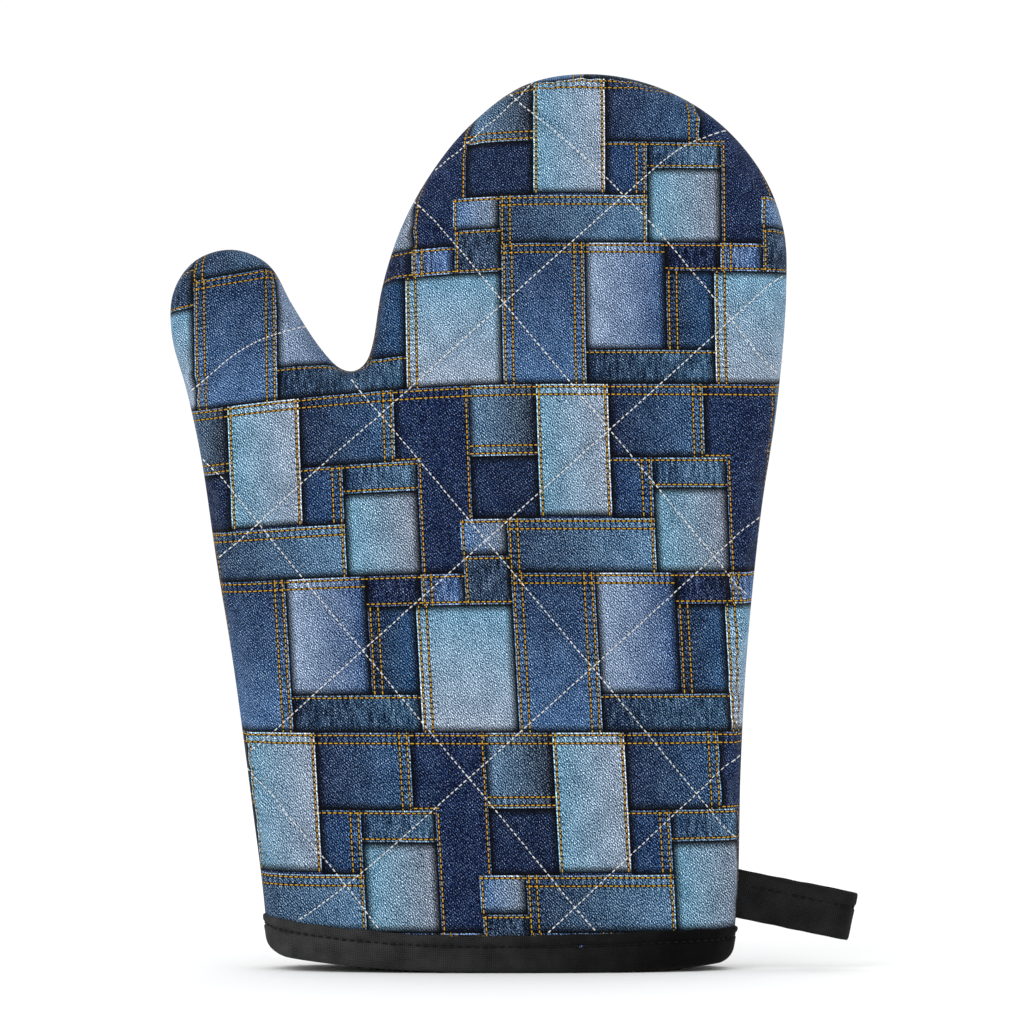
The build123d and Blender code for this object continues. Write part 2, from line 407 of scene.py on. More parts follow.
@dataclass
class MittForm:
    """The opened-out form that both panels follow, found from the seam's outline."""

    spacing: float = 2.7
    stiffness_length: float = 30.0
    foot: float = 0.9
    ring_arc: float = 2.3
    rings: int = 8
    sides: tuple[float, float] = (-110.0, 90.0)
    ring_gap: float = 0.62  # between the rings and the triangles' points, in spacings
    grid_step: float = 1.5
    grid_margin: int = 3
    sweeps: int = 700
    overshoot: float = 1.9
    first_guess: float = 150.0
    half_width: float = 72.0
    edge_reach: float = 24.0
    edge_steps: int = 2000
    blend_at: float = 8.0
    blend_half: float = 3.0
    batch: int = 4000
    print_turn: float = 4.0
    print_reach: float = 0.9
    seam: np.ndarray = field(init=False)
    outward: np.ndarray = field(init=False)
    low: np.ndarray = field(init=False)
    phi: np.ndarray = field(init=False)
    away: np.ndarray = field(init=False)
    edge_phi: np.ndarray = field(init=False)
    edge_arc: np.ndarray = field(init=False)

    def __post_init__(self) -> None:
        """Lays out the seam, its outward directions and the swelling of the panels."""
        self.seam = smooth_curve(SEAM_POINTS, self.spacing)
        along = unit(np.gradient(self.seam, axis=0))
        self.outward = np.stack([-along[:, 1], along[:, 0]], axis=1)
        self.outward[0] = (-1, 0)
        self.outward[-1] = (1, 0)
        self._swell()
        self._tabulate_edge()

    def _swell(self) -> None:
        """Solves for how far a panel swells, as a sheet held at the seam and free at the cuff."""
        low = self.seam.min(axis=0) - self.grid_margin * self.grid_step
        high = self.seam.max(axis=0) + self.grid_margin * self.grid_step
        low[1] = self.foot
        xs = np.arange(low[0], high[0], self.grid_step)
        zs = np.arange(low[1], high[1], self.grid_step)
        grid = np.stack(np.meshgrid(xs, zs, indexing="ij"), axis=-1)
        inside = self.holds(grid.reshape(-1, 2)).reshape(grid.shape[:2])
        phi = np.where(inside, self.first_guess, 0.0)
        # The four neighbours and the pull of the cloth's stiffness share each place.
        keep = 4 + (self.grid_step / self.stiffness_length) ** 2
        parity = np.add.outer(np.arange(len(xs)), np.arange(len(zs))) % 2
        masks = [inside & (parity == p) for p in (0, 1)]
        for _ in range(self.sweeps):
            for mask in masks:
                padded = np.pad(phi, 1, mode="edge")
                around = padded[:-2, 1:-1] + padded[2:, 1:-1] + padded[1:-1, :-2] + padded[1:-1, 2:]
                fresh = (around + self.grid_step**2) / keep
                phi[mask] += self.overshoot * (fresh - phi)[mask]
        self.low = low
        self.phi = phi

    def holds(self, flat: np.ndarray) -> np.ndarray:
        """Which places lie inside the seam's outline."""
        ring = np.vstack([self.seam, self.seam[:1]])
        inside = np.zeros(len(flat), bool)
        for (x0, z0), (x1, z1) in zip(ring[:-1], ring[1:]):
            crosses = (flat[:, 1] < z0) != (flat[:, 1] < z1)
            with np.errstate(divide="ignore", invalid="ignore"):
                at = x0 + (flat[:, 1] - z0) * (x1 - x0) / (z1 - z0)
            inside ^= crosses & (flat[:, 0] < at)
        return inside

    def _tabulate_edge(self) -> None:
        """Tabulates the swelling and the cloth used near a straight seam, by distance from it."""
        length = self.stiffness_length
        self.away = np.linspace(0, 1, self.edge_steps) ** 2 * self.edge_reach
        middle = math.cosh(self.half_width / length)
        fall = np.cosh((self.half_width - self.away) / length) / middle
        self.edge_phi = length**2 * (1 - fall)
        rise = np.sqrt(self.edge_phi)
        run = np.hypot(np.diff(self.away), np.diff(rise))
        self.edge_arc = np.concatenate([[0], np.cumsum(run)])

    def sample(self, flat: np.ndarray) -> np.ndarray:
        """The swelling found on the grid at these places."""
        at = (flat - self.low) / self.grid_step
        at = np.clip(at, 0, np.array(self.phi.shape) - 1.001)
        i, j = at.astype(int).T
        u, v = (at - at.astype(int)).T
        near = self.phi[i, j] * (1 - u) + self.phi[i + 1, j] * u
        far = self.phi[i, j + 1] * (1 - u) + self.phi[i + 1, j + 1] * u
        return near * (1 - v) + far * v

    def nearest(self, flat: np.ndarray) -> tuple[np.ndarray, np.ndarray, np.ndarray]:
        """The seam place nearest each given place.

        Args:
            flat: Places as rows of X and Z.

        Returns:
            The distances, the seam's numbers and the seam's places.
        """
        a, b = self.seam[:-1], self.seam[1:]
        best = np.full(len(flat), 1e9)
        number = np.zeros(len(flat), int)
        place = np.zeros_like(flat)
        for start in range(0, len(flat), self.batch):
            some = slice(start, start + self.batch)
            part = flat[some, None]
            t = ((part - a) * (b - a)).sum(2) / ((b - a) ** 2).sum(1)
            on = a + np.clip(t, 0, 1)[..., None] * (b - a)
            away = np.linalg.norm(part - on, axis=2)
            pick = away.argmin(1)
            rows = np.arange(len(pick))
            best[some] = away[rows, pick]
            number[some] = pick
            place[some] = on[rows, pick]
        return best, number, place

    def depth(self, flat: np.ndarray) -> np.ndarray:
        """How far the panel stands from the seam plane at each place."""
        reach = self.blend_at
        away, number, place = self.nearest(flat)
        blend = smoothstep(reach - self.blend_half, reach + self.blend_half, away)
        inner = np.sqrt(np.maximum(self.sample(flat), 0))
        anchor = place - self.outward[number] * reach
        share = self.sample(anchor) / np.interp(reach, self.away, self.edge_phi)
        outer = np.sqrt(np.maximum(share * np.interp(away, self.away, self.edge_phi), 0))
        return outer * (1 - blend) + inner * blend

    def cloth_place(self, flat: np.ndarray) -> np.ndarray:
        """Where each place lies on the cloth laid flat, which is wider than the opened mitt."""
        away, _, place = self.nearest(flat)
        away = np.minimum(away, self.away[-1])
        taken = np.interp(away, self.away, self.edge_arc)
        extra = np.maximum(0, (self.edge_arc[-1] - taken) - (self.away[-1] - away))
        outward = (place - flat) / np.maximum(away, 1e-6)[:, None]
        return flat + outward * extra[:, None]

    def print_place(self, flat: np.ndarray) -> np.ndarray:
        """Where each place lies on the print, which was pressed on with its sides stretched."""
        away, _, place = self.nearest(flat)
        outward = (place - flat) / np.maximum(away, 1e-6)[:, None]
        return flat + outward * (self.print_turn * np.exp(-away / self.print_reach))[:, None]

    def mesh(self) -> tuple[np.ndarray, list]:
        """Divides one panel into faces: rings of quads along the seam and triangles within.

        Returns:
            The flat places as rows of X and Z, and the faces.
        """
        arcs = np.arange(self.rings) * self.ring_arc
        away = np.interp(arcs, self.edge_arc, self.away)
        rings = [self.seam - self.outward * d for d in away]
        for ring in rings:
            ring[0, 1] = self.foot
            ring[-1, 1] = self.foot
        count = len(self.seam)
        flat = np.vstack(rings)
        faces = []
        for ring in range(self.rings - 1):
            for i in range(count - 1):
                a = ring * count + i
                faces.append((a, a + count, a + 1 + count, a + 1))
        inner = rings[-1]
        inner_start = (self.rings - 1) * count
        steps = round((inner[-1, 0] - inner[0, 0]) / self.spacing)
        loop = np.vstack([inner, np.linspace(inner[-1], inner[0], steps + 1)[1:-1]])
        row = self.spacing * math.sqrt(3) / 2
        points = []
        for k in range(int(self.seam[:, 1].max() / row) + 1):
            z = self.foot + k * row
            left = self.sides[0] + (k % 2) * self.spacing / 2
            points += [(x, z) for x in np.arange(left, self.sides[1], self.spacing)]
        points = np.array(points)
        points = points[self.holds(points)]
        clear, _, _ = self.nearest(points)
        clear = clear > away[-1] + self.ring_gap * self.spacing
        points = points[clear & (points[:, 1] > self.foot + self.spacing / 2)]
        every = np.vstack([loop, points])
        outline = list(range(len(loop)))
        made = delaunay_2d_cdt([Vector(p) for p in every], [], [outline], 1, 1e-6)
        numbers = np.array([ids[0] for ids in made[3]])
        lookup = np.concatenate(
            [inner_start + np.arange(count), len(flat) + np.arange(len(every) - count)]
        )
        flat = np.vstack([flat, every[count:]])
        for face in made[2]:
            faces.append(tuple(int(lookup[numbers[v]]) for v in face))
        return flat, faces


@dataclass(frozen=True)
class Lift:
    """A lift of the cuff that grows as a square from one place on."""

    height: float
    start: float
    span: float  # from the start to where it has its height, and less than 0 towards the thumb
    limit: float  # how many spans it goes on for

    def at(self, x: np.ndarray) -> np.ndarray:
        """The lift at these places across the mitt."""
        return self.height * np.clip((x - self.start) / self.span, 0, self.limit) ** 2


@dataclass
class CuffLine:
    """How the open cuff leaves the level: its corners lift and its upper edge dips in the middle."""

    band: float = 13.0
    rest: float = 0.1
    dip: float = 1.0
    # The thumb side and its corner, then the loop side and its corner.
    foot_lifts: tuple[Lift, ...] = (
        Lift(3.9, -8.0, -62.0, 1.15),
        Lift(2.2, -70.0, -6.5, 1.2),
        Lift(1.7, 25.0, 36.0, 1.25),
        Lift(2.2, 64.0, 5.0, 1.2),
    )
    # The thumb side and the loop side.
    top_lifts: tuple[Lift, ...] = (Lift(3.2, -10.0, -52.0, 1.3), Lift(1.3, -10.0, 56.0, 1.0))

    def foot(self, x: np.ndarray) -> np.ndarray:
        """The lift of the cuff's lower edge."""
        return sum((lift.at(x) for lift in self.foot_lifts), self.rest)

    def top(self, x: np.ndarray) -> np.ndarray:
        """The lift of the binding's upper edge."""
        return sum(lift.at(x) for lift in self.top_lifts) - self.dip

    def settle(self, places: np.ndarray) -> np.ndarray:
        """Moves the part of a piece that is near the cuff to follow the cuff's edges."""
        x, z = places[:, 0], places[:, 2]
        share = np.clip(z / self.band, 0, 1)
        fade = 1 - smoothstep(self.band, 4 * self.band, z)
        lift = (self.foot(x) * (1 - share) + self.top(x) * share) * fade
        moved = places.copy()
        moved[:, 2] += lift
        return moved


@dataclass
class Patchwork:
    """Places the printed tile on the cloth, with the slight lean and arch of a hand-laid print."""

    tile: tuple[float, float] = (96.0, 109.0)
    row_height: float = 182.6
    column: float = -14.8
    squeeze: float = 1.142
    stretch: float = 1.009
    cuff_ease: float = 0.059
    lean: float = 0.055
    lean_ends: tuple[float, float] = (59.0, -65.0)  # the columns are straight above, and lean below
    arch: float = 5.2
    arch_start: tuple[float, float] = (14.5, 70.0)
    arch_span: tuple[float, float] = (92.0, 100.0)
    back_shift: float = 41.0

    def place(self, cloth: np.ndarray, side: Side) -> np.ndarray:
        """Finds the place on the printed tile.

        Args:
            cloth: Places on the cloth laid flat, as rows of X and Z.
            side: Which panel it is. The back is cut further along the same print.

        Returns:
            Places on the print, right and up from the tile's upper left corner.
        """
        x, z = cloth[:, 0], cloth[:, 1]
        if side is Side.BACK:
            x = self.back_shift - x
        left = np.maximum(0, self.arch_start[0] - x) / self.arch_span[0]
        height = np.maximum(0, z - self.arch_start[1]) / self.arch_span[1]
        up = z + self.arch * left**2 * height - self.row_height
        top, foot = self.lean_ends
        bent = np.maximum(0, top - up) ** 2 * self.lean / (2 * (top - foot))
        curve = np.where(up > foot, bent, self.lean * ((top + foot) / 2 - up))
        low = self.stretch * up + self.cuff_ease * np.maximum(0, -up - self.tile[1])
        return np.stack([x - self.column - curve, np.where(up < 0, low, self.squeeze * up)], axis=1)


# ---- Finishes ----


@dataclass(frozen=True)
class Patch:
    """One patch of the printed tile, in millimetres right and down from the tile's corner.

    Each edge has no stitches, one row (1), a hem between two rows (2), or one row beside cloth
    that is creased all over (3). At -1 the cloth runs on under its neighbour, with no edge.
    """

    left: float
    top: float
    right: float
    bottom: float
    colours: tuple[str, str]
    fade: Fade = Fade.ACROSS
    rows: tuple[int, int, int, int] = (0, 0, 0, 0)  # left, right, top, bottom

    @property
    def middle(self) -> tuple[float, float]:
        """The patch's middle, right and up from the tile's corner."""
        return ((self.left + self.right) / 2, -(self.top + self.bottom) / 2)

    @property
    def half(self) -> tuple[float, float]:
        """Half of the patch's width and height."""
        return ((self.right - self.left) / 2, (self.bottom - self.top) / 2)


# Cotton scatters light from its loose fibres, so it shows no gloss and hardly any sheen.
MATT_COTTON = {"Roughness": 0.85, "Sheen Weight": 0.02, "Specular IOR Level": 0.06}

# Later patches lie over earlier ones.
PATCHES = [
    Patch(79.5, 0.0, 96.3, 59.0, ("#021846", "#021743"), Fade.DOWN, rows=(1, 1, 2, 0)),
    Patch(73.0, 0.0, 80.9, 23.4, ("#021a49", "#06214a"), rows=(0, -1, 2, 1)),
    Patch(0.0, 0.0, 21.3, 22.5, ("#5a7d9d", "#020622"), rows=(0, 0, 2, 2)),
    Patch(0.0, 22.5, 21.3, 42.0, ("#041b45", "#02153c")),
    Patch(21.0, 0.0, 43.5, 41.5, ("#6494af", "#929fb2"), rows=(1, 1, 2, 0)),
    Patch(43.5, 0.0, 73.0, 23.0, ("#091c43", "#2a5179"), rows=(0, 2, 2, 0)),
    Patch(43.5, 23.0, 56.5, 42.0, ("#0e2d58", "#183f6c"), rows=(0, 2, 1, 0)),
    Patch(56.5, 23.0, 79.5, 32.5, ("#11375d", "#476a88"), rows=(0, 0, 3, 1)),
    Patch(56.5, 32.5, 79.5, 59.0, ("#699bb6", "#828a9b")),
    Patch(10.5, 42.0, 56.5, 59.0, ("#042448", "#557a9b"), rows=(2, 1, 2, 0)),
    Patch(-4.0, 42.0, 10.5, 53.5, ("#3f6a9a", "#808e9f"), rows=(1, 0, 1, 0)),
    Patch(-3.5, 53.5, 11.0, 69.0, ("#1b3350", "#2a425f"), rows=(1, 0, 3, 1)),
    Patch(62.0, 59.0, 79.0, 69.0, ("#021442", "#021238"), rows=(0, 0, 3, 1)),
    Patch(79.0, 59.0, 92.5, 69.0, ("#41597c", "#486a9c"), rows=(2, 0, 3, 1)),
    Patch(11.0, 59.0, 37.0, 109.0, ("#072850", "#436894"), Fade.DOWN, rows=(2, 2, 2, 0)),
    Patch(37.0, 59.0, 62.0, 97.0, ("#8fa3be", "#1f4879"), rows=(0, 0, 2, 0)),
    Patch(62.0, 69.0, 77.0, 97.0, ("#020d31", "#204e7b"), rows=(2, 0, 0, 0)),
    Patch(37.0, 97.0, 77.0, 109.0, ("#051f41", "#2a5070"), rows=(0, 0, 3, 0)),
    Patch(77.0, 69.0, 107.0, 109.0, ("#6c9ab6", "#95a4b7"), Fade.DOWN, rows=(2, 0, 0, 0)),
]


@dataclass(frozen=True)
class PrintedCotton:
    """Plain cotton printed with a picture of denim patches, dyed in by a transfer press.

    The eye gets a matt cloth on which the seams, threads and twill are only ink.
    """

    name: str = "transfer printed cotton"
    tile: tuple[float, float] = (96.0, 109.0)
    gold: str = "#cf9f36"
    gap: str = "#04060a"
    stitch_pitch: float = 1.66
    stitch_length: float = 0.62
    # Two distances are where a drawn line starts to fade and where it is gone, or the reverse.
    row_places: tuple[float, float] = (0.95, 3.35)
    row_half: tuple[float, float] = (0.42, 0.3)
    thread_half: tuple[float, float] = (0.22, 0.08)
    dash_blur: float = 0.1
    lit_edge: tuple[float, float] = (0.6, 0.5)
    hem_reach: tuple[float, float] = (2.4, 0.4)
    shadow_reach: tuple[float, float] = (2.5, 0.2)  # beside an edge with no stitches, and with
    shadow_start: float = 0.1
    shadow_power: float = 0.6
    row_shade: float = 0.9
    pucker_pitch: float = 1.95
    twill_pitch: float = 0.7  # drawn coarser than real denim's 0.45 mm, as the print is enlarged
    yarn_pitch: float = 0.64
    exposure: float = 0.93
    tone: float = -0.083
    darkest: float = 0.015
    gamma: float = 2.2
    # What each layer of grain adds to the tone.
    twill_weight: float = 0.2
    yarn_weight: float = 0.13
    fleck_weight: float = 1.8
    cloud_weight: float = 0.22
    pucker_weight: float = 0.12
    lit_weight: float = 0.24
    crease_weight: float = 0.5

    def make(self) -> bpy.types.Material:
        """Builds the material. Its patterns follow the UV map named print, in millimetres."""
        material, tree = start_material(self.name)
        place = add_node(tree, "ShaderNodeUVMap", uv_map="print")
        patch = self._pick_patch(tree, place)
        colour = self._ink(tree, place, patch, self._draw_edges(tree, place, patch))
        weave = add_node(
            tree, "ShaderNodeTexNoise", {"Vector": place, "Scale": 1.6, "Detail": 2.0, "Roughness": 0.6}
        )
        relief = {"Height": weave, "Strength": 0.3, "Distance": 0.25 * MM}
        finish_material(tree, {"Base Color": colour, **MATT_COTTON}, relief)
        return material

    def _pick_patch(self, tree: Any, place: Any) -> dict[str, Any]:
        """Finds which patch each place is on, and its facts.

        Args:
            tree: The material's node tree.
            place: The place on the print, in millimetres.

        Returns:
            Sockets for the place from the patch's middle, its half size, its rows and colours.
        """
        width, height = self.tile
        ground = linear(PATCHES[0].colours[0])
        chosen = {
            "place": (0.0, 0.0, 0.0),
            "half": (10.0, 10.0, 0.0),
            "rows": (0.0, 0.0, 0.0),
            "near": ground,
            "far": ground,
        }
        for patch in PATCHES:
            middle = (*patch.middle, -float(patch.fade.value))
            away = add_node(tree, "ShaderNodeVectorMath", {0: place, 1: middle}, operation="SUBTRACT")
            wrapped = add_node(
                tree,
                "ShaderNodeVectorMath",
                {0: away, 1: (width / 2, height / 2, 5), 2: (-width / 2, -height / 2, -5)},
                operation="WRAP",
            )
            size = add_node(tree, "ShaderNodeVectorMath", {0: wrapped}, operation="ABSOLUTE")
            over = add_node(
                tree, "ShaderNodeVectorMath", {0: size, 1: (*patch.half, 10)}, operation="SUBTRACT"
            )
            parts = add_node(tree, "ShaderNodeSeparateXYZ", {0: over}).node.outputs
            furthest = add_node(tree, "ShaderNodeMath", {0: parts[0], 1: parts[1]}, operation="MAXIMUM")
            mask = add_node(tree, "ShaderNodeMath", {0: furthest, 1: 0.0}, operation="LESS_THAN")
            left, right, top, bottom = (float(count) for count in patch.rows)
            facts = {"place": wrapped, "half": (*patch.half, bottom), "rows": (left, right, top)}
            for key, value in facts.items():
                chosen[key] = add_node(
                    tree, "ShaderNodeMix", {0: mask, 4: chosen[key], 5: value}, 1, data_type="VECTOR"
                )
            for key, value in zip(("near", "far"), patch.colours):
                chosen[key] = add_node(
                    tree, "ShaderNodeMix", {0: mask, 6: chosen[key], 7: linear(value)}, 2, data_type="RGBA"
                )
        parts = {key: add_node(tree, "ShaderNodeSeparateXYZ", {0: chosen[key]}).node.outputs
                 for key in ("place", "half", "rows")}
        return {
            "at": parts["place"],
            "half": parts["half"],
            "counts": (parts["rows"][0], parts["rows"][1], parts["rows"][2], parts["half"][2]),
            "near": chosen["near"],
            "far": chosen["far"],
        }

    def _draw_edges(self, tree: Any, place: Any, patch: dict[str, Any]) -> dict[str, Any]:
        """Draws the rows of stitches, puckers and shadows along the patch's four edges.

        Args:
            tree: The material's node tree.
            place: The place on the print, in millimetres.
            patch: The sockets that _pick_patch found.

        Returns:
            Sockets from 0 to 1 for the threads, their dark rows, the lit edges, the light that is
            left beside the gaps, and the puckers from -1 to 1.
        """
        at, half = patch["at"], patch["half"]
        operations = (("ADD", 0), ("SUBTRACT", 0), ("SUBTRACT", 1), ("ADD", 1))
        drawn = {"thread": 0.0, "row": 0.0, "lit": 0.0, "light": 1.0, "pucker": 0.0}
        dashes = [self._dash(tree, at[axis]) for axis in (1, 0)]
        ripples = [self._ripple(tree, place, at[axis]) for axis in (1, 0)]
        for (operation, axis), count in zip(operations, patch["counts"]):
            away = add_node(tree, "ShaderNodeMath", {0: half[axis], 1: at[axis]}, operation=operation)
            sewn = add_node(tree, "ShaderNodeMath", {0: count, 1: 0.5}, operation="GREATER_THAN")
            hemmed = add_node(tree, "ShaderNodeMath", {0: count, 1: 2.0, 2: 0.5}, operation="COMPARE")
            for row_place, present in zip(self.row_places, (sewn, hemmed)):
                across = add_node(tree, "ShaderNodeMath", {0: away, 1: row_place}, operation="SUBTRACT")
                across = add_node(tree, "ShaderNodeMath", {0: across}, operation="ABSOLUTE")
                ends = {1: self.row_half[0], 2: self.row_half[1]}
                row = add_node(tree, "ShaderNodeMapRange", {0: across, **ends, 4: present})
                ends = {1: self.thread_half[0], 2: self.thread_half[1]}
                thread = add_node(tree, "ShaderNodeMapRange", {0: across, **ends, 4: present})
                thread = add_node(
                    tree, "ShaderNodeMath", {0: thread, 1: dashes[axis]}, operation="MULTIPLY"
                )
                for key, value in (("row", row), ("thread", thread)):
                    drawn[key] = add_node(
                        tree, "ShaderNodeMath", {0: drawn[key], 1: value}, operation="MAXIMUM"
                    )
            ends = {1: self.lit_edge[0], 2: self.lit_edge[1]}
            lit = add_node(tree, "ShaderNodeMapRange", {0: away, **ends, 4: sewn})
            drawn["lit"] = add_node(
                tree, "ShaderNodeMath", {0: drawn["lit"], 1: lit}, operation="MAXIMUM"
            )
            last = add_node(
                tree,
                "ShaderNodeMix",
                {0: hemmed, 2: self.row_places[0], 3: self.row_places[1]},
                data_type="FLOAT",
            )
            reach = add_node(tree, "ShaderNodeMath", {0: away, 1: last}, operation="SUBTRACT")
            ends = {1: self.hem_reach[0], 2: self.hem_reach[1]}
            inner = add_node(tree, "ShaderNodeMapRange", {0: reach, **ends, 4: sewn})
            pucker = add_node(tree, "ShaderNodeMath", {0: inner, 1: ripples[axis]}, operation="MULTIPLY")
            drawn["pucker"] = add_node(
                tree, "ShaderNodeMath", {0: drawn["pucker"], 1: pucker}, operation="ADD"
            )
            runs_on = add_node(tree, "ShaderNodeMath", {0: count, 1: -0.5}, operation="LESS_THAN")
            ends = {2: self.shadow_reach[0], 3: self.shadow_reach[1]}
            soft = add_node(tree, "ShaderNodeMix", {0: sewn, **ends}, data_type="FLOAT")
            light = add_node(tree, "ShaderNodeMapRange", {0: away, 1: self.shadow_start, 2: soft})
            light = add_node(tree, "ShaderNodeMath", {0: light, 1: self.shadow_power}, operation="POWER")
            light = add_node(tree, "ShaderNodeMath", {0: light, 1: runs_on}, operation="MAXIMUM")
            drawn["light"] = add_node(
                tree, "ShaderNodeMath", {0: drawn["light"], 1: light}, operation="MULTIPLY"
            )
        return drawn

    def _dash(self, tree: Any, along: Any) -> Any:
        """Cuts a row of thread into stitches along one direction."""
        phase = add_node(
            tree, "ShaderNodeMath", {0: along, 1: self.stitch_pitch / 2}, operation="PINGPONG"
        )
        middle = self.stitch_pitch / 2 * self.stitch_length
        ends = {1: middle + self.dash_blur, 2: middle - self.dash_blur}
        return add_node(tree, "ShaderNodeMapRange", {0: phase, **ends})

    def _ripple(self, tree: Any, place: Any, along: Any) -> Any:
        """Puckers from -1 to 1, repeated unevenly along one direction."""
        stray = self._grain(tree, place, (1.6, 1.6), 4.0)
        phase = add_node(
            tree,
            "ShaderNodeMath",
            {0: along, 1: 2 * math.pi / self.pucker_pitch, 2: stray},
            operation="MULTIPLY_ADD",
        )
        return add_node(tree, "ShaderNodeMath", {0: phase}, operation="SINE")

    def _grain(self, tree: Any, place: Any, size: tuple[float, float], gain: float) -> Any:
        """Adds a noise whose grains have this size, centred on 0.

        Args:
            tree: The material's node tree.
            place: The place on the print, in millimetres.
            size: The grain's size right and up, in millimetres.
            gain: What the noise is multiplied by.

        Returns:
            The noise's value.
        """
        scale = (1 / size[0], 1 / size[1], 1.0)
        spread = add_node(tree, "ShaderNodeVectorMath", {0: place, 1: scale}, operation="MULTIPLY")
        noise = add_node(tree, "ShaderNodeTexNoise", {"Vector": spread, "Scale": 1.0, "Detail": 1.0})
        return add_node(
            tree, "ShaderNodeMath", {0: noise, 1: gain, 2: -gain / 2}, operation="MULTIPLY_ADD"
        )

    def _yarns(self, tree: Any, place: Any, way: tuple[float, float], pitch: float) -> Any:
        """Adds parallel yarns from -1 to 1, broken up unevenly.

        Args:
            tree: The material's node tree.
            place: The place on the print, in millimetres.
            way: The direction across the yarns.
            pitch: Their spacing in millimetres.

        Returns:
            The yarns' value.
        """
        turn = 2 * math.pi / pitch / math.hypot(*way)
        across = add_node(
            tree,
            "ShaderNodeVectorMath",
            {0: place, 1: (way[0] * turn, way[1] * turn, 0.0)},
            "Value",
            operation="DOT_PRODUCT",
        )
        stray = self._grain(tree, place, (1.4, 1.4), 9.0)
        phase = add_node(tree, "ShaderNodeMath", {0: across, 1: stray}, operation="ADD")
        return add_node(tree, "ShaderNodeMath", {0: phase}, operation="SINE")

    def _ink(self, tree: Any, place: Any, patch: dict[str, Any], drawn: dict[str, Any]) -> Any:
        """Mixes the patch's fading dye, its grain and the drawn edges into one colour.

        Args:
            tree: The material's node tree.
            place: The place on the print, in millimetres.
            patch: The sockets that _pick_patch found.
            drawn: The sockets that _draw_edges found.

        Returns:
            The colour socket.
        """
        shares = []
        for axis, operation in ((0, "ADD"), (1, "SUBTRACT")):
            end = {0: patch["half"][axis], 1: patch["at"][axis]}
            start = add_node(tree, "ShaderNodeMath", end, operation=operation)
            extent = add_node(
                tree, "ShaderNodeMath", {0: patch["half"][axis], 1: 2.0}, operation="MULTIPLY"
            )
            shares.append(add_node(tree, "ShaderNodeMath", {0: start, 1: extent}, operation="DIVIDE"))
        share = add_node(
            tree, "ShaderNodeMix", {0: patch["at"][2], 2: shares[0], 3: shares[1]}, data_type="FLOAT"
        )
        dye = add_node(
            tree, "ShaderNodeMix", {0: share, 6: patch["near"], 7: patch["far"]}, 2, data_type="RGBA"
        )
        creased = add_node(
            tree, "ShaderNodeMath", {0: patch["counts"][2], 1: 2.5}, operation="GREATER_THAN"
        )
        streaks = self._grain(tree, place, (1.0, 6.0), 1.3)
        creases = add_node(tree, "ShaderNodeMath", {0: streaks, 1: creased}, operation="MULTIPLY")
        layers = (
            (self._yarns(tree, place, (1.0, 1.0), self.twill_pitch), self.twill_weight),
            (self._yarns(tree, place, (1.0, 0.12), self.yarn_pitch), self.yarn_weight),
            (self._grain(tree, place, (0.33, 0.4), 1.0), self.fleck_weight),
            (self._grain(tree, place, (6.0, 8.0), 1.0), self.cloud_weight),
            (drawn["pucker"], self.pucker_weight),
            (drawn["lit"], self.lit_weight),
            (creases, self.crease_weight),
        )
        tone = self.tone
        for layer, weight in layers:
            tone = add_node(
                tree, "ShaderNodeMath", {0: layer, 1: weight, 2: tone}, operation="MULTIPLY_ADD"
            )
        # The grain is added to the colour as the eye sees it, so that it shows alike on each dye.
        seen = add_node(tree, "ShaderNodeGamma", {0: dye, 1: 1 / self.gamma})
        seen = add_node(tree, "ShaderNodeVectorMath", {0: seen, 1: tone}, operation="ADD")
        floor = (self.darkest,) * 3
        seen = add_node(tree, "ShaderNodeVectorMath", {0: seen, 1: floor}, operation="MAXIMUM")
        shaded = {0: drawn["row"], 1: -self.row_shade, 2: 1.0}
        lit = add_node(tree, "ShaderNodeMath", shaded, operation="MULTIPLY_ADD")
        lit = add_node(tree, "ShaderNodeMath", {0: lit, 1: drawn["light"]}, operation="MULTIPLY")
        seen = add_node(tree, "ShaderNodeVectorMath", {0: seen, 3: lit}, operation="SCALE")
        cloth = add_node(tree, "ShaderNodeGamma", {0: seen, 1: self.gamma})
        cloth = add_node(tree, "ShaderNodeVectorMath", {0: cloth, 3: self.exposure}, operation="SCALE")
        gap = linear(self.gap)[:3]
        cloth = add_node(tree, "ShaderNodeVectorMath", {0: cloth, 1: gap}, operation="ADD")
        return add_node(
            tree,
            "ShaderNodeMix",
            {0: drawn["thread"], 6: cloth, 7: linear(self.gold)},
            2,
            data_type="RGBA",
        )


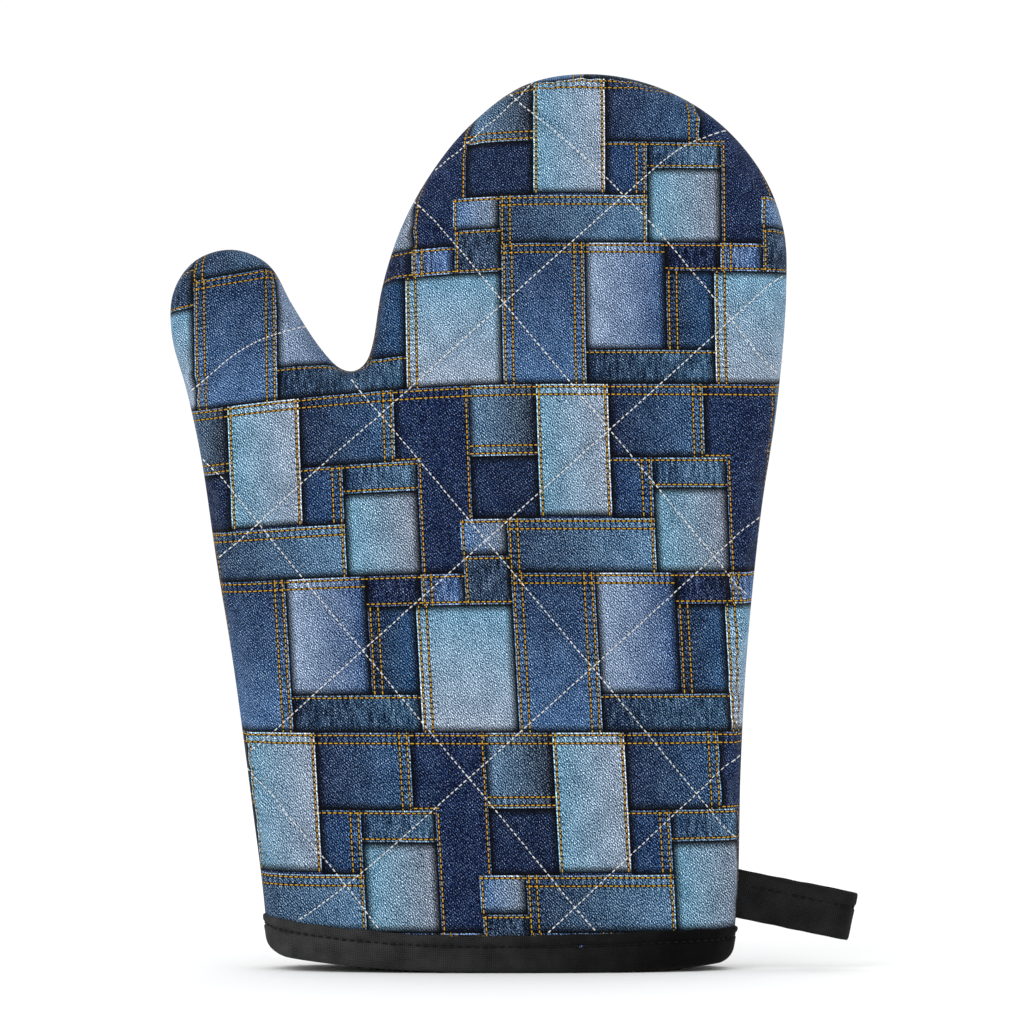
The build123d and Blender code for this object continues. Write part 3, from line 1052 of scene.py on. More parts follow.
@dataclass(frozen=True)
class WovenCloth:
    """A plain dyed cotton: a matt cloth whose crossing yarns catch a little light.

    Its weave follows the UV map named cloth, in millimetres.
    """

    name: str
    light: str
    dark: str
    yarn: float  # the spacing of the yarns, drawn coarse enough to show
    relief: float = 0.12
    fading: tuple[float, float] = (1.0, 1.0)  # painted light: how strong the colour is at the thumb and loop sides, standing in for a lamp that lights one side more

    def make(self) -> bpy.types.Material:
        """Builds the material."""
        material, tree = start_material(self.name)
        place = add_node(tree, "ShaderNodeUVMap", uv_map="cloth")
        height = 0.0
        for axis in ("X", "Y"):
            yarn = add_node(
                tree,
                "ShaderNodeTexWave",
                {"Vector": place, "Scale": math.pi / 10 / self.yarn, "Distortion": 1.2, "Detail": 1.0},
                "Fac",
                bands_direction=axis,
            )
            height = add_node(tree, "ShaderNodeMath", {0: yarn, 1: height}, operation="ADD")
        worn = add_node(
            tree, "ShaderNodeTexNoise", {"Vector": place, "Scale": 0.14, "Detail": 3.0}
        )
        fibre = add_node(
            tree, "ShaderNodeTexNoise", {"Vector": place, "Scale": 2.2 / self.yarn, "Detail": 2.0}
        )
        share = add_node(
            tree, "ShaderNodeMath", {0: height, 1: 0.32, 2: worn}, operation="MULTIPLY_ADD"
        )
        share = add_node(tree, "ShaderNodeMath", {0: share, 1: fibre}, operation="ADD")
        share = add_node(tree, "ShaderNodeMapRange", {0: share, 1: 0.85, 2: 1.75})
        colour = add_node(
            tree,
            "ShaderNodeMix",
            {0: share, 6: linear(self.dark), 7: linear(self.light)},
            2,
            data_type="RGBA",
        )
        # Painted light: the colour is scaled down from the thumb side to the loop side, as if a lamp lit
        # the thumb side more.
        side = add_node(tree, "ShaderNodeTexCoord", output="Object")
        side = add_node(tree, "ShaderNodeSeparateXYZ", {0: side})
        side_light_share = add_node(
            tree,
            "ShaderNodeMapRange",
            {0: side, 1: -60 * MM, 2: 50 * MM, 3: self.fading[0], 4: self.fading[1]},
        )
        colour = add_node(tree, "ShaderNodeVectorMath", {0: colour, 3: side_light_share}, operation="SCALE")
        relief = {"Height": height, "Strength": 0.7, "Distance": self.relief * MM}
        finish_material(tree, {"Base Color": colour, **MATT_COTTON}, relief)
        return material


@dataclass(frozen=True)
class SewingThread:
    """Spun polyester thread: smooth plies twisted together, with a soft shine."""

    name: str
    light: str
    dark: str
    twist: float = 0.45  # the spacing of the plies, drawn coarser than the real 0.25 mm

    def make(self) -> bpy.types.Material:
        """Builds the material."""
        material, tree = start_material(self.name)
        found = add_node(tree, "ShaderNodeTexCoord", output="Object")
        place = add_node(tree, "ShaderNodeVectorMath", {0: found, 3: 1 / MM}, operation="SCALE")
        ply = add_node(
            tree,
            "ShaderNodeTexWave",
            {"Vector": place, "Scale": math.pi / 10 / self.twist, "Distortion": 0.6},
            "Fac",
            bands_direction="DIAGONAL",
        )
        worn = add_node(tree, "ShaderNodeTexNoise", {"Vector": place, "Scale": 0.8, "Detail": 2.0})
        share = add_node(tree, "ShaderNodeMath", {0: ply, 1: 0.5, 2: worn}, operation="MULTIPLY_ADD")
        share = add_node(tree, "ShaderNodeMapRange", {0: share, 1: 0.35, 2: 0.9})
        colour = add_node(
            tree,
            "ShaderNodeMix",
            {0: share, 6: linear(self.dark), 7: linear(self.light)},
            2,
            data_type="RGBA",
        )
        relief = {"Height": ply, "Strength": 0.5, "Distance": 0.05 * MM}
        shader = {"Base Color": colour, "Roughness": 0.6, "Specular IOR Level": 0.15}
        finish_material(tree, shader, relief)
        return material


@dataclass(frozen=True)
class PolyesterWadding:
    """Bonded polyester wadding: a white mat of loose fibres that looks soft and cloudy."""

    name: str = "bonded polyester wadding"
    light: str = "#f4f4f2"
    dark: str = "#c9cac8"
    fibre: float = 1.1

    def make(self) -> bpy.types.Material:
        """Builds the material."""
        material, tree = start_material(self.name)
        found = add_node(tree, "ShaderNodeTexCoord", output="Object")
        place = add_node(
            tree, "ShaderNodeVectorMath", {0: found, 3: 1 / MM / self.fibre}, operation="SCALE"
        )
        mat = add_node(
            tree, "ShaderNodeTexNoise", {"Vector": place, "Detail": 6.0, "Distortion": 2.5, "Scale": 0.7}
        )
        share = add_node(tree, "ShaderNodeMapRange", {0: mat, 1: 0.3, 2: 0.7})
        colour = add_node(
            tree,
            "ShaderNodeMix",
            {0: share, 6: linear(self.dark), 7: linear(self.light)},
            2,
            data_type="RGBA",
        )
        relief = {"Height": mat, "Strength": 0.8, "Distance": 0.4 * MM}
        finish_material(tree, {"Base Color": colour, "Roughness": 0.95, "Sheen Weight": 0.3}, relief)
        return material


# ---- Sewing ----


@dataclass
class Stitch:
    """One stitch of thread, modelled once along X and copied wherever it is sewn."""

    sides: int = 6
    round_off: float = 0.24
    bow: float = 0.5

    def __post_init__(self) -> None:
        """Models a rod of unit size and rounds its two ends."""
        bpy.ops.object.select_all(action="DESELECT")
        bpy.ops.mesh.primitive_cylinder_add(
            vertices=self.sides, radius=0.5, depth=1.0, rotation=(0, math.pi / 2, 0)
        )
        rod = bpy.context.active_object
        bpy.ops.object.transform_apply(location=True, rotation=True, scale=True)
        bpy.ops.object.mode_set(mode="EDIT")
        bpy.ops.mesh.select_mode(type="FACE")
        bpy.ops.mesh.select_all(action="DESELECT")
        mesh = bmesh.from_edit_mesh(rod.data)
        for face in mesh.faces:
            face.select_set(abs(face.normal.x) > 0.9)
        bmesh.update_edit_mesh(rod.data)
        bpy.ops.mesh.bevel(offset=self.round_off, segments=1, affect="EDGES")
        bpy.ops.object.mode_set(mode="OBJECT")
        self.shape = np.array([v.co for v in rod.data.vertices], float)
        self.faces = [tuple(p.vertices) for p in rod.data.polygons]
        bpy.data.objects.remove(rod)

    def sew(
        self, name: str, starts: np.ndarray, ends: np.ndarray, ups: np.ndarray, size: tuple[float, float]
    ) -> bpy.types.Object:
        """Copies the stitch between pairs of places, as one piece.

        Args:
            name: The piece's name.
            starts: Where each stitch leaves the cloth, in millimetres.
            ends: Where each stitch enters the cloth again.
            ups: The cloth's outward direction at each stitch.
            size: The stitch's width and height.

        Returns:
            The piece of thread.
        """
        along = ends - starts
        across = unit(np.cross(ups, along))
        up = unit(np.cross(along, across))
        # The unit stitch ends half a length from its middle, where the arch comes down to 0.
        arch = (0.25 - self.shape[:, 0] ** 2) * self.bow
        places = (
            ((starts + ends) / 2)[:, None]
            + self.shape[None, :, 0:1] * along[:, None]
            + self.shape[None, :, 1:2] * across[:, None] * size[0]
            + (self.shape[None, :, 2:3] + arch[None, :, None]) * up[:, None] * size[1]
        )
        count = len(self.shape)
        faces = [tuple(v + n * count for v in face) for n in range(len(starts)) for face in self.faces]
        piece = make_object(name, places.reshape(-1, 3), faces)
        shade_smooth(piece)
        return piece


def close_between(name: str, outer: np.ndarray, inner: np.ndarray, faces: list) -> bpy.types.Object:
    """Makes a closed piece of cloth or wadding between its outer and inner surfaces.

    Args:
        name: The piece's name.
        outer: The outer surface's places.
        inner: The matching places on the inner surface.
        faces: The outer surface's faces, which may leave some places out.

    Returns:
        The closed piece, whose second half of vertices is the inner surface.
    """
    count = len(outer)
    edges = dict.fromkeys(pair for face in faces for pair in zip(face, (*face[1:], face[0])))
    rim = [(b, a, a + count, b + count) for a, b in edges if (b, a) not in edges]
    back = [tuple(v + count for v in reversed(face)) for face in faces]
    piece = make_object(name, np.vstack([outer, inner]), [*faces, *back, *rim])
    used = np.zeros(2 * count, bool)
    used[np.unique(np.concatenate([np.array(f) for f in (*faces, *back)]))] = True
    if not used.all():
        mesh = bmesh.new()
        mesh.from_mesh(piece.data)
        mesh.verts.ensure_lookup_table()
        bmesh.ops.delete(mesh, geom=[mesh.verts[i] for i in np.nonzero(~used)[0]], context="VERTS")
        mesh.to_mesh(piece.data)
        mesh.free()
    shade_smooth(piece)
    return piece


def set_map(piece: bpy.types.Object, name: str, places: np.ndarray) -> None:
    """Gives the piece a UV map from one pair of numbers for each vertex."""
    numbers = np.zeros(len(piece.data.loops), np.int32)
    piece.data.loops.foreach_get("vertex_index", numbers)
    layer = piece.data.uv_layers.new(name=name)
    layer.data.foreach_set("uv", places[numbers].astype(np.float32).ravel())


def dress(piece: bpy.types.Object, material: bpy.types.Material, body: str = "") -> None:
    """Gives a piece its material and its slot, and makes it ride on a body if one is named."""
    piece.data.materials.clear()
    piece.data.materials.append(material)
    if body:
        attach(piece, body)
    LOG.info("%s: %d faces", piece.name, len(piece.data.polygons))


# ---- The panels ----


@dataclass
class Surface:
    """One face of a panel: where each place of the flat panel has gone."""

    flat: np.ndarray
    places: np.ndarray
    normals: np.ndarray
    faces: list

    def __post_init__(self) -> None:
        """Prepares the search for the face under a flat place."""
        self.corners = [Vector((x, z, 0)) for x, z in self.flat]
        self.finder = BVHTree.FromPolygons(self.corners, [list(f) for f in self.faces])

    def find(self, flat: np.ndarray) -> tuple[np.ndarray, np.ndarray]:
        """Finds places on the surface from places on the flat panel.

        Args:
            flat: Places as rows of X and Z.

        Returns:
            The places and the outward directions there.
        """
        places, normals = [], []
        for x, z in flat:
            at, _, number, _ = self.finder.find_nearest(Vector((x, z, 0)))
            face = list(self.faces[number])
            weights = np.array(poly_3d_calc([self.corners[v] for v in face], at))
            places.append(weights @ self.places[face])
            normals.append(weights @ self.normals[face])
        return np.array(places), unit(np.array(normals))


# How the cloth of a panel behaves while the wadding swells it.
QUILTED_COTTON = {
    "quality": 6,
    "vertex_group_mass": "sewn",
    "pin_stiffness": 1.0,
    "tension_stiffness": 20.0,
    "compression_stiffness": 20.0,
    "shear_stiffness": 8.0,
    "bending_stiffness": 0.5,
    "use_pressure": True,
}


@dataclass
class QuiltedPanel:
    """One panel of the mitt: printed cloth, wadding and lining, quilted together."""

    side: Side
    form: MittForm
    quilting: Quilting
    cuff: CuffLine
    patchwork: Patchwork
    cloth: float = 0.6
    clearance: float = 0.15
    pressed_in: float = 1.0
    pressed_half: float = 4.0
    sewn_depth: float = 2.4
    full_depth: float = 5.4
    seam_depth: float = 3.0
    sink: float = 1.4
    sink_half: float = 3.0
    puff: float = 2.6
    puff_half: float = 10.0
    swell_limit: float = 3.6
    bound: float = 14.0
    frames: int = 20
    pressure: float = 4.0
    fullness: float = 0.02
    pinned: tuple[float, float, float] = (1.4, 0.5, 0.5)  # by a line, the seam and the binding
    groove: float = 0.9
    groove_half: float = 1.3
    # The height, wavelength and seed of each layer of creases.
    creases: tuple[tuple[float, float, int], ...] = ((0.22, 17, 11), (0.1, 6.5, 12))
    line_creases: tuple[float, float, int] = (0.26, 5.5, 13)
    seam_pucker: float = 0.3
    seam_pucker_pitch: float = 8.5
    seam_pucker_stray: tuple[float, float, int] = (2.2, 30, 14)
    binding_press: float = 0.25
    print_settles: tuple[float, float] = (1.5, 8.0)
    stitch_pitch: float = 1.8
    stitch_length: float = 1.2
    stitch_offset: float = 0.6
    stitch_lift: float = 0.12
    stitch_run: float = 300.0
    stitch_miss: float = 0.2
    stitch_stray: float = 0.5
    stitch_gap: tuple[float, float] = (0.7, -0.8)  # from the seam and from the binding's bound
    thread: tuple[float, float] = (0.42, 0.36)
    off_panel: float = 1e4

    @property
    def suffix(self) -> str:
        """The end of the names of this panel's pieces."""
        return self.side.name.lower()

    def make(self, flat: np.ndarray, faces: list) -> None:
        """Shapes the panel's surfaces.

        Args:
            flat: The flat panel's places as rows of X and Z.
            faces: Its faces, facing the front.
        """
        if self.side is Side.BACK:
            faces = [tuple(reversed(f)) for f in faces]
        depth = self.form.depth(flat)
        base = np.stack([flat[:, 0], self.side.value * depth, flat[:, 1]], axis=1)
        swollen = self._swell(base, flat, faces)
        form = make_object("quilting_form_" + self.suffix, swollen, faces)
        kept = form.data.attributes.new("flat", "FLOAT_VECTOR", "POINT")
        kept.data.foreach_set("vector", np.pad(flat, ((0, 0), (0, 1))).astype(np.float32).ravel())
        apply_modifier(form, "rounding", "SUBSURF", levels=1, render_levels=1)
        fine = np.zeros(len(form.data.vertices) * 3, np.float32)
        form.data.attributes["flat"].data.foreach_get("vector", fine)
        self.fine = self._finish(form, fine.reshape(-1, 3)[:, :2].astype(float))
        bpy.data.objects.remove(form)
        # The undivided panel's vertices come first, so the filling lies just under the rounded cloth.
        first = slice(len(flat))
        self.coarse = Surface(
            self.fine.flat[first], self.fine.places[first], self.fine.normals[first], faces
        )

    def _swell(self, base: np.ndarray, flat: np.ndarray, faces: list) -> np.ndarray:
        """Fills the quilting's diamonds, by simulating the cloth over its wadding.

        Args:
            base: The panel before it is quilted.
            flat: The same places on the flat panel.
            faces: The panel's faces.

        Returns:
            The places of the quilted panel.
        """
        piece = make_object("swelling_cloth_" + self.suffix, base, faces)
        normals = normals_of(piece)
        line = self.quilting.distance(flat)
        edge, _, _ = self.form.nearest(flat)
        free = smoothstep(0, 9, edge) * smoothstep(self.bound - 1, self.bound + 10, flat[:, 1])
        sunk = base - normals * (self.sink * free * np.exp(-((line / self.sink_half) ** 2)))[:, None]
        move_to(piece, sunk)
        group = piece.vertex_groups.new(name="sewn")
        by_line, by_seam, by_binding = self.pinned
        sewn = (line < by_line) | (edge < by_seam) | (flat[:, 1] < self.bound + by_binding)
        group.add([int(i) for i in np.nonzero(sewn)[0]], 1.0, "REPLACE")
        make_active(piece)
        modifier = piece.modifiers.new("cloth", "CLOTH")
        cloth = modifier.settings
        set_up(cloth, QUILTED_COTTON)
        cloth.uniform_pressure_force = self.pressure
        cloth.shrink_min = -self.fullness
        cloth.effector_weights.gravity = 0.0
        modifier.collision_settings.use_collision = False
        for frame_number in range(1, self.frames + 1):
            bpy.context.scene.frame_set(frame_number)
        bpy.ops.object.modifier_apply(modifier="cloth")
        moved = places_of(piece) - base
        bpy.context.scene.frame_set(1)
        bpy.data.objects.remove(piece)
        length = np.linalg.norm(moved, axis=1)
        LOG.info("%s panel swells %.1f mm, at most %.1f", self.suffix, length.mean(), length.max())
        limit = self.swell_limit * np.tanh(length / self.swell_limit) / np.maximum(length, 1e-9)
        return base + moved * limit[:, None]

    def _finish(self, form: bpy.types.Object, flat: np.ndarray) -> Surface:
        """Adds the small relief of the cloth and settles the panel on its cuff.

        Args:
            form: The quilted panel's mesh.
            flat: Its places on the flat panel.

        Returns:
            The panel's outer surface.
        """
        places = places_of(form)
        normals = normals_of(form)
        edge, number, _ = self.form.nearest(flat)
        on_seam = (edge < 0.02) & (np.abs(places[:, 1]) < 0.01)
        outward = self.form.outward[number[on_seam]]
        normals[on_seam] = np.stack([outward[:, 0], 0 * outward[:, 0], outward[:, 1]], axis=1)
        line = self.quilting.distance(flat)
        free = smoothstep(0, 6, edge) * smoothstep(self.bound - 1, self.bound + 3, flat[:, 1])
        relief = -self.groove * np.exp(-((line / self.groove_half) ** 2))
        for height, pitch, seed in self.creases:
            relief += height * waves(places, pitch, seed)
        height, pitch, seed = self.line_creases
        relief += height * waves(places, pitch, seed) * np.exp(-((line / 5) ** 2)) * (line > 1)
        relief *= free
        near_seam = smoothstep(0, 2.5, edge) * (1 - smoothstep(4, 13, edge))
        run = number * self.form.spacing
        gain, pitch, seed = self.seam_pucker_stray
        stray = gain * waves(places, pitch, seed)
        puckers = self.seam_pucker * np.sin(run * 2 * math.pi / self.seam_pucker_pitch + stray)
        relief += puckers * near_seam * smoothstep(self.bound + 6, self.bound + 30, flat[:, 1])
        pressed = 1 - smoothstep(self.bound - 3, self.bound + 1, flat[:, 1])
        relief -= self.binding_press * pressed * smoothstep(0, 1, edge)
        settled = self.cuff.settle(places + normals * relief[:, None])
        faces = [tuple(p.vertices) for p in form.data.polygons]
        return Surface(flat, settled, normals, faces)

    def depth_to_lining(self, flat: np.ndarray) -> np.ndarray:
        """How deep the lining lies under the printed cloth's face."""
        line = self.quilting.distance(flat)
        edge, _, _ = self.form.nearest(flat)
        full = (1 - np.exp(-((line / 7) ** 2))) * smoothstep(0, 14, edge)
        full = np.maximum(full, 1 - smoothstep(self.bound - 2, self.bound + 12, flat[:, 1]))
        sewn = self.sewn_depth + (self.seam_depth - self.sewn_depth) * (1 - smoothstep(0, 8, edge))
        return sewn + (self.full_depth - sewn) * full

    def build(self, finishes: dict[str, bpy.types.Material], stitch: Stitch) -> None:
        """Makes the panel's pieces and dresses them."""
        self._add_printed_cloth(finishes)
        self._add_filling(finishes)
        self._add_quilting_thread(finishes, stitch)

    def _add_printed_cloth(self, finishes: dict[str, bpy.types.Material]) -> None:
        """Makes the printed cloth and lays the print on it."""
        outer = self.fine
        inner = outer.places - outer.normals * self.cloth
        piece = close_between("printed_cloth_" + self.suffix, outer.places, inner, outer.faces)
        away, _, _ = self.form.nearest(outer.flat)
        level = np.column_stack([outer.flat[:, 0], 0 * away, outer.flat[:, 1]])
        level = self.cuff.settle(level)[:, [0, 2]]
        moved = outer.places[:, [0, 2]] - level
        # By the seam the print keeps to the flat panel, so that the puckers there don't bend it.
        faced = level + moved * smoothstep(*self.print_settles, away)[:, None]
        on_print = self.patchwork.place(self.form.print_place(faced), self.side)
        set_map(piece, "print", np.vstack([on_print, on_print]))
        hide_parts("shell_" + self.suffix)
        dress(piece, finishes["print"], "mitt")
        self._declare_sheet()

    def _declare_sheet(self) -> None:
        """Finds where the panel's places and its seam lie on the cloth laid flat, and keeps neither."""
        cut = self.form.cloth_place(self.coarse.flat)
        x, z = self.form.cloth_place(self.form.seam).T

    def _add_filling(self, finishes: dict[str, bpy.types.Material]) -> None:
        """Makes the wadding and the lining."""
        outer = self.coarse
        deep = self.depth_to_lining(outer.flat)
        line = self.quilting.distance(outer.flat)
        # The filling is pressed in under the lines, where the cloth's grooves are narrow.
        pressed = self.clearance + self.pressed_in * np.exp(-((line / self.pressed_half) ** 2))
        top = outer.places - outer.normals * (self.cloth + pressed)[:, None]
        foot = outer.places - outer.normals * (deep - self.clearance)[:, None]
        # The seam's own ring of places comes first, and the wadding is trimmed short of it.
        inside = [f for f in outer.faces if min(f) >= len(self.form.seam)]
        wadding = close_between("padding_" + self.suffix, top, foot, inside)
        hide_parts("wadding_" + self.suffix)
        dress(wadding, finishes["wadding"], "mitt")
        face = outer.places - outer.normals * deep[:, None]
        inner = face - outer.normals * self.cloth
        lining = close_between("inner_cloth_" + self.suffix, face, inner, outer.faces)
        set_map(lining, "cloth", np.vstack([outer.flat, outer.flat]))
        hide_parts("lining_" + self.suffix)
        dress(lining, finishes["lining"], "mitt")
        self._declare_sheet()
        self.inside = Surface(outer.flat, inner, -outer.normals, outer.faces)

    def _quilting_stitches(self) -> tuple[np.ndarray, np.ndarray]:
        """Where each quilting stitch starts and ends on the flat panel."""
        starts, ends = [], []
        for number, angle in enumerate(self.quilting.angles):
            aside = self.quilting.across(angle)
            along = np.array([aside[1], -aside[0]])
            for line in range(-self.quilting.lines_each_way, self.quilting.lines_each_way + 1):
                middle = np.array(self.quilting.crossing) + aside * line * self.quilting.pitch
                run = np.arange(-self.stitch_run, self.stitch_run, self.stitch_pitch)
                run += self.stitch_offset * number
                for side, kept in ((0.0, starts), (self.stitch_length, ends)):
                    laid = middle + along * (run + side)[:, None]
                    flat = self.quilting.unlay(laid)
                    error = np.linalg.norm(self.quilting.lay(flat) - laid, axis=1)
                    missed = error > self.stitch_miss
                    if number == 1:
                        missed |= self.quilting.in_thumb(flat)
                    flat[missed] = self.off_panel
                    kept.append(flat)
        starts, ends = np.vstack(starts), np.vstack(ends)
        inside = self.form.holds(starts) & self.form.holds(ends)
        starts, ends = starts[inside], ends[inside]
        clear = self.form.nearest(starts)[0] > self.stitch_gap[0]
        clear &= np.minimum(starts[:, 1], ends[:, 1]) > self.bound + self.stitch_gap[1]
        length = np.linalg.norm(ends - starts, axis=1) / self.stitch_length
        clear &= np.abs(length - 1) < self.stitch_stray
        return starts[clear], ends[clear]

    def _add_quilting_thread(self, finishes: dict[str, bpy.types.Material], stitch: Stitch) -> None:
        """Sews the quilting through the panel, outside and inside."""
        starts, ends = self._quilting_stitches()
        for surface, name, node in (
            (self.fine, "outer_quilting_stitches_", "quilting_needle_thread_"),
            (self.inside, "inner_quilting_stitches_", "quilting_bobbin_thread_"),
        ):
            first, up = surface.find(starts)
            last, _ = surface.find(ends)
            lift = up * self.stitch_lift
            piece = stitch.sew(name + self.suffix, first + lift, last + lift, up, self.thread)
            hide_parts(node + self.suffix)
            dress(piece, finishes["white_thread"], "mitt")


# ---- The cuff, the side seam and the loop ----


def lay_strip(name: str, along: int, across: int) -> tuple[bpy.types.Object, np.ndarray]:
    """Adds a flat strip of tape, divided evenly, to be laid along its path.

    Args:
        name: The piece's name.
        along: How many faces it has along its length.
        across: How many faces it has across its width.

    Returns:
        The strip, and each vertex's share of its length and width from 0 to 1.
    """
    bpy.ops.object.select_all(action="DESELECT")
    bpy.ops.mesh.primitive_grid_add(x_subdivisions=along, y_subdivisions=across, size=1.0)
    strip = bpy.context.active_object
    strip.name = name
    strip.data.name = name
    shares = np.array([v.co[:2] for v in strip.data.vertices], float) + 0.5
    return strip, shares


def close_strip(strip: bpy.types.Object, thickness: float) -> None:
    """Joins the strip where its ends meet, turns its faces outwards and thickens it inwards.

    Args:
        strip: The strip, laid in its place.
        thickness: The tape's thickness in millimetres.
    """
    make_active(strip)
    bpy.ops.object.mode_set(mode="EDIT")
    bpy.ops.mesh.select_all(action="SELECT")
    bpy.ops.mesh.remove_doubles(threshold=0.01 * MM)
    bpy.ops.mesh.flip_normals()
    bpy.ops.object.mode_set(mode="OBJECT")
    apply_modifier(strip, "thickness", "SOLIDIFY", thickness=thickness * MM, offset=-1.0)
    shade_smooth(strip)


@dataclass
class CuffBinding:
    """The tape folded over the cuff's raw edge, and the line that sews it down."""

    form: MittForm
    cuff: CuffLine
    columns: int = 300
    rows: int = 58
    outline_steps: int = 2880
    lowest: float = 1.0  # below it the section is the same
    height: float = 6.0
    thickness: float = 0.8
    profile_step: float = 0.1
    groove: float = 0.75
    groove_half: float = 0.8
    # The height, wavelength and seed of the ripples by the stitches, the sag and the top edge.
    ripple: tuple[float, float, int] = (0.2, 5.2, 21)
    ripple_half: float = 3.6
    sag: tuple[float, float, int] = (0.18, 19, 22)
    wavy_top: tuple[float, float, int] = (0.22, 9.0, 23)
    wave_radius: float = 52.0
    stitch_height: float = 8.8
    stitch_pitch: float = 2.6
    stitch_length: float = 1.7
    stitch_sides: tuple[tuple[float, int], ...] = ((0.46, 1), (-6.76, -1))  # outside and inside
    thread: tuple[float, float] = (0.5, 0.36)
    # From the outer edge, under the fold, to the inner edge: outwards from the cloth, and up.
    profile: tuple[tuple[float, float], ...] = (
        (0.1, 12.2),
        (0.5, 12.7),
        (0.8, 11.9),
        (0.85, 9.0),
        (0.95, 5.0),
        (0.8, 2.0),
        (0.1, 0.5),
        (-1.6, 0.0),
        (-4.6, 0.0),
        (-6.5, 0.6),
        (-7.2, 2.4),
        (-7.3, 6.0),
        (-7.2, 9.0),
        (-7.2, 11.8),
        (-6.9, 12.4),
    )

    def _section(self, height: float) -> tuple[np.ndarray, np.ndarray]:
        """The cuff's outline at one height, divided evenly, and its outward directions."""
        flat = self.form.seam
        half = len(flat) // 2
        left = np.interp(height, flat[:half, 1], flat[:half, 0])
        right = np.interp(height, flat[:half:-1, 1], flat[:half:-1, 0])
        turn = np.linspace(0, 2 * math.pi, self.outline_steps + 1)
        x = (left + right) / 2 - (right - left) / 2 * np.cos(turn)
        depth = self.form.depth(np.stack([x, np.full_like(x, max(height, self.form.foot))], axis=1))
        depth[[0, len(depth) // 2, -1]] = 0
        ring = np.stack([x, -np.sign(np.sin(turn)) * depth], axis=1)
        ring = divide(ring, self.columns + 1)
        along = np.roll(ring[:-1], -1, axis=0) - np.roll(ring[:-1], 1, axis=0)
        along = unit(np.vstack([along, along[:1]]))
        return ring, np.stack([along[:, 1], -along[:, 0]], axis=1)

    def _lay(self, outward: float, height: float) -> np.ndarray:
        """The ring of places at this distance outside the cloth and this height."""
        ring, normal = self._section(self.height)
        shift = self._section(max(height, self.lowest))[0] - ring
        places = ring + shift + normal * outward
        return np.column_stack([places, np.full(len(places), height)])

    def build(self, finishes: dict[str, bpy.types.Material], stitch: Stitch) -> None:
        """Makes the binding and its stitches."""
        strip, shares = lay_strip("bound_cuff_tape", self.columns, self.rows)
        profile = smooth_curve(list(self.profile), self.profile_step)
        at = np.linspace(0, len(profile) - 1, self.rows + 1)
        profile = values_at(at, np.arange(len(profile)), profile)
        rings = np.array([self._lay(out, up) for out, up in profile])
        column = np.rint(shares[:, 0] * self.columns).astype(int)
        row = np.rint(shares[:, 1] * self.rows).astype(int)
        places = rings[row, column]
        places = self._pucker(places, profile[row], column)
        move_to(strip, self.cuff.settle(places))
        set_map(strip, "cloth", shares * (run_along(rings[0])[-1], run_along(profile)[-1]))
        close_strip(strip, self.thickness)
        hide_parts("cuff_binding")
        dress(strip, finishes["binding"], "mitt")
        self._sew(finishes, stitch)

    def _pucker(self, places: np.ndarray, profile: np.ndarray, column: np.ndarray) -> np.ndarray:
        """Pulls the tape in along its stitches and lets it ripple between them."""
        _, normal = self._section(self.height)
        outside = smoothstep(-1, 0.5, profile[:, 0]) - (1 - smoothstep(-7, -5, profile[:, 0]))
        from_stitch = profile[:, 1] - self.stitch_height
        groove = -self.groove * np.exp(-((from_stitch / self.groove_half) ** 2))
        turn = column % self.columns / self.columns * 2 * math.pi
        ring = np.stack([np.cos(turn), np.sin(turn)], axis=1) * self.wave_radius
        height, pitch, seed = self.ripple
        ripple = height * waves(ring, pitch, seed) * np.exp(-((from_stitch / self.ripple_half) ** 2))
        height, pitch, seed = self.sag
        sag = height * waves(np.column_stack([ring, profile[:, 1]]), pitch, seed)
        move = (groove + ripple + sag * smoothstep(0, 3, profile[:, 1])) * outside
        moved = places.copy()
        moved[:, :2] += normal[column] * move[:, None]
        height, pitch, seed = self.wavy_top
        moved[:, 2] += smoothstep(11, 12.5, profile[:, 1]) * height * waves(ring, pitch, seed)
        return moved

    def _sew(self, finishes: dict[str, bpy.types.Material], stitch: Stitch) -> None:
        """Sews the binding down, with stitches outside and inside the cuff."""
        starts, ends, ups = [], [], []
        for outward, sign in self.stitch_sides:
            ring = self.cuff.settle(self._lay(outward, self.stitch_height))
            _, normal = self._section(self.height)
            run = run_along(ring)
            first = np.arange(0, run[-1] - self.stitch_length, self.stitch_pitch)
            starts.append(values_at(first, run, ring))
            ends.append(values_at(first + self.stitch_length, run, ring))
            up = values_at(first, run, normal)
            ups.append(np.column_stack([up * sign, np.zeros(len(up))]))
        piece = stitch.sew(
            "cuff_tape_stitches", np.vstack(starts), np.vstack(ends), np.vstack(ups), self.thread
        )
        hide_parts("cuff_binding_thread")
        dress(piece, finishes["black_thread"], "mitt")


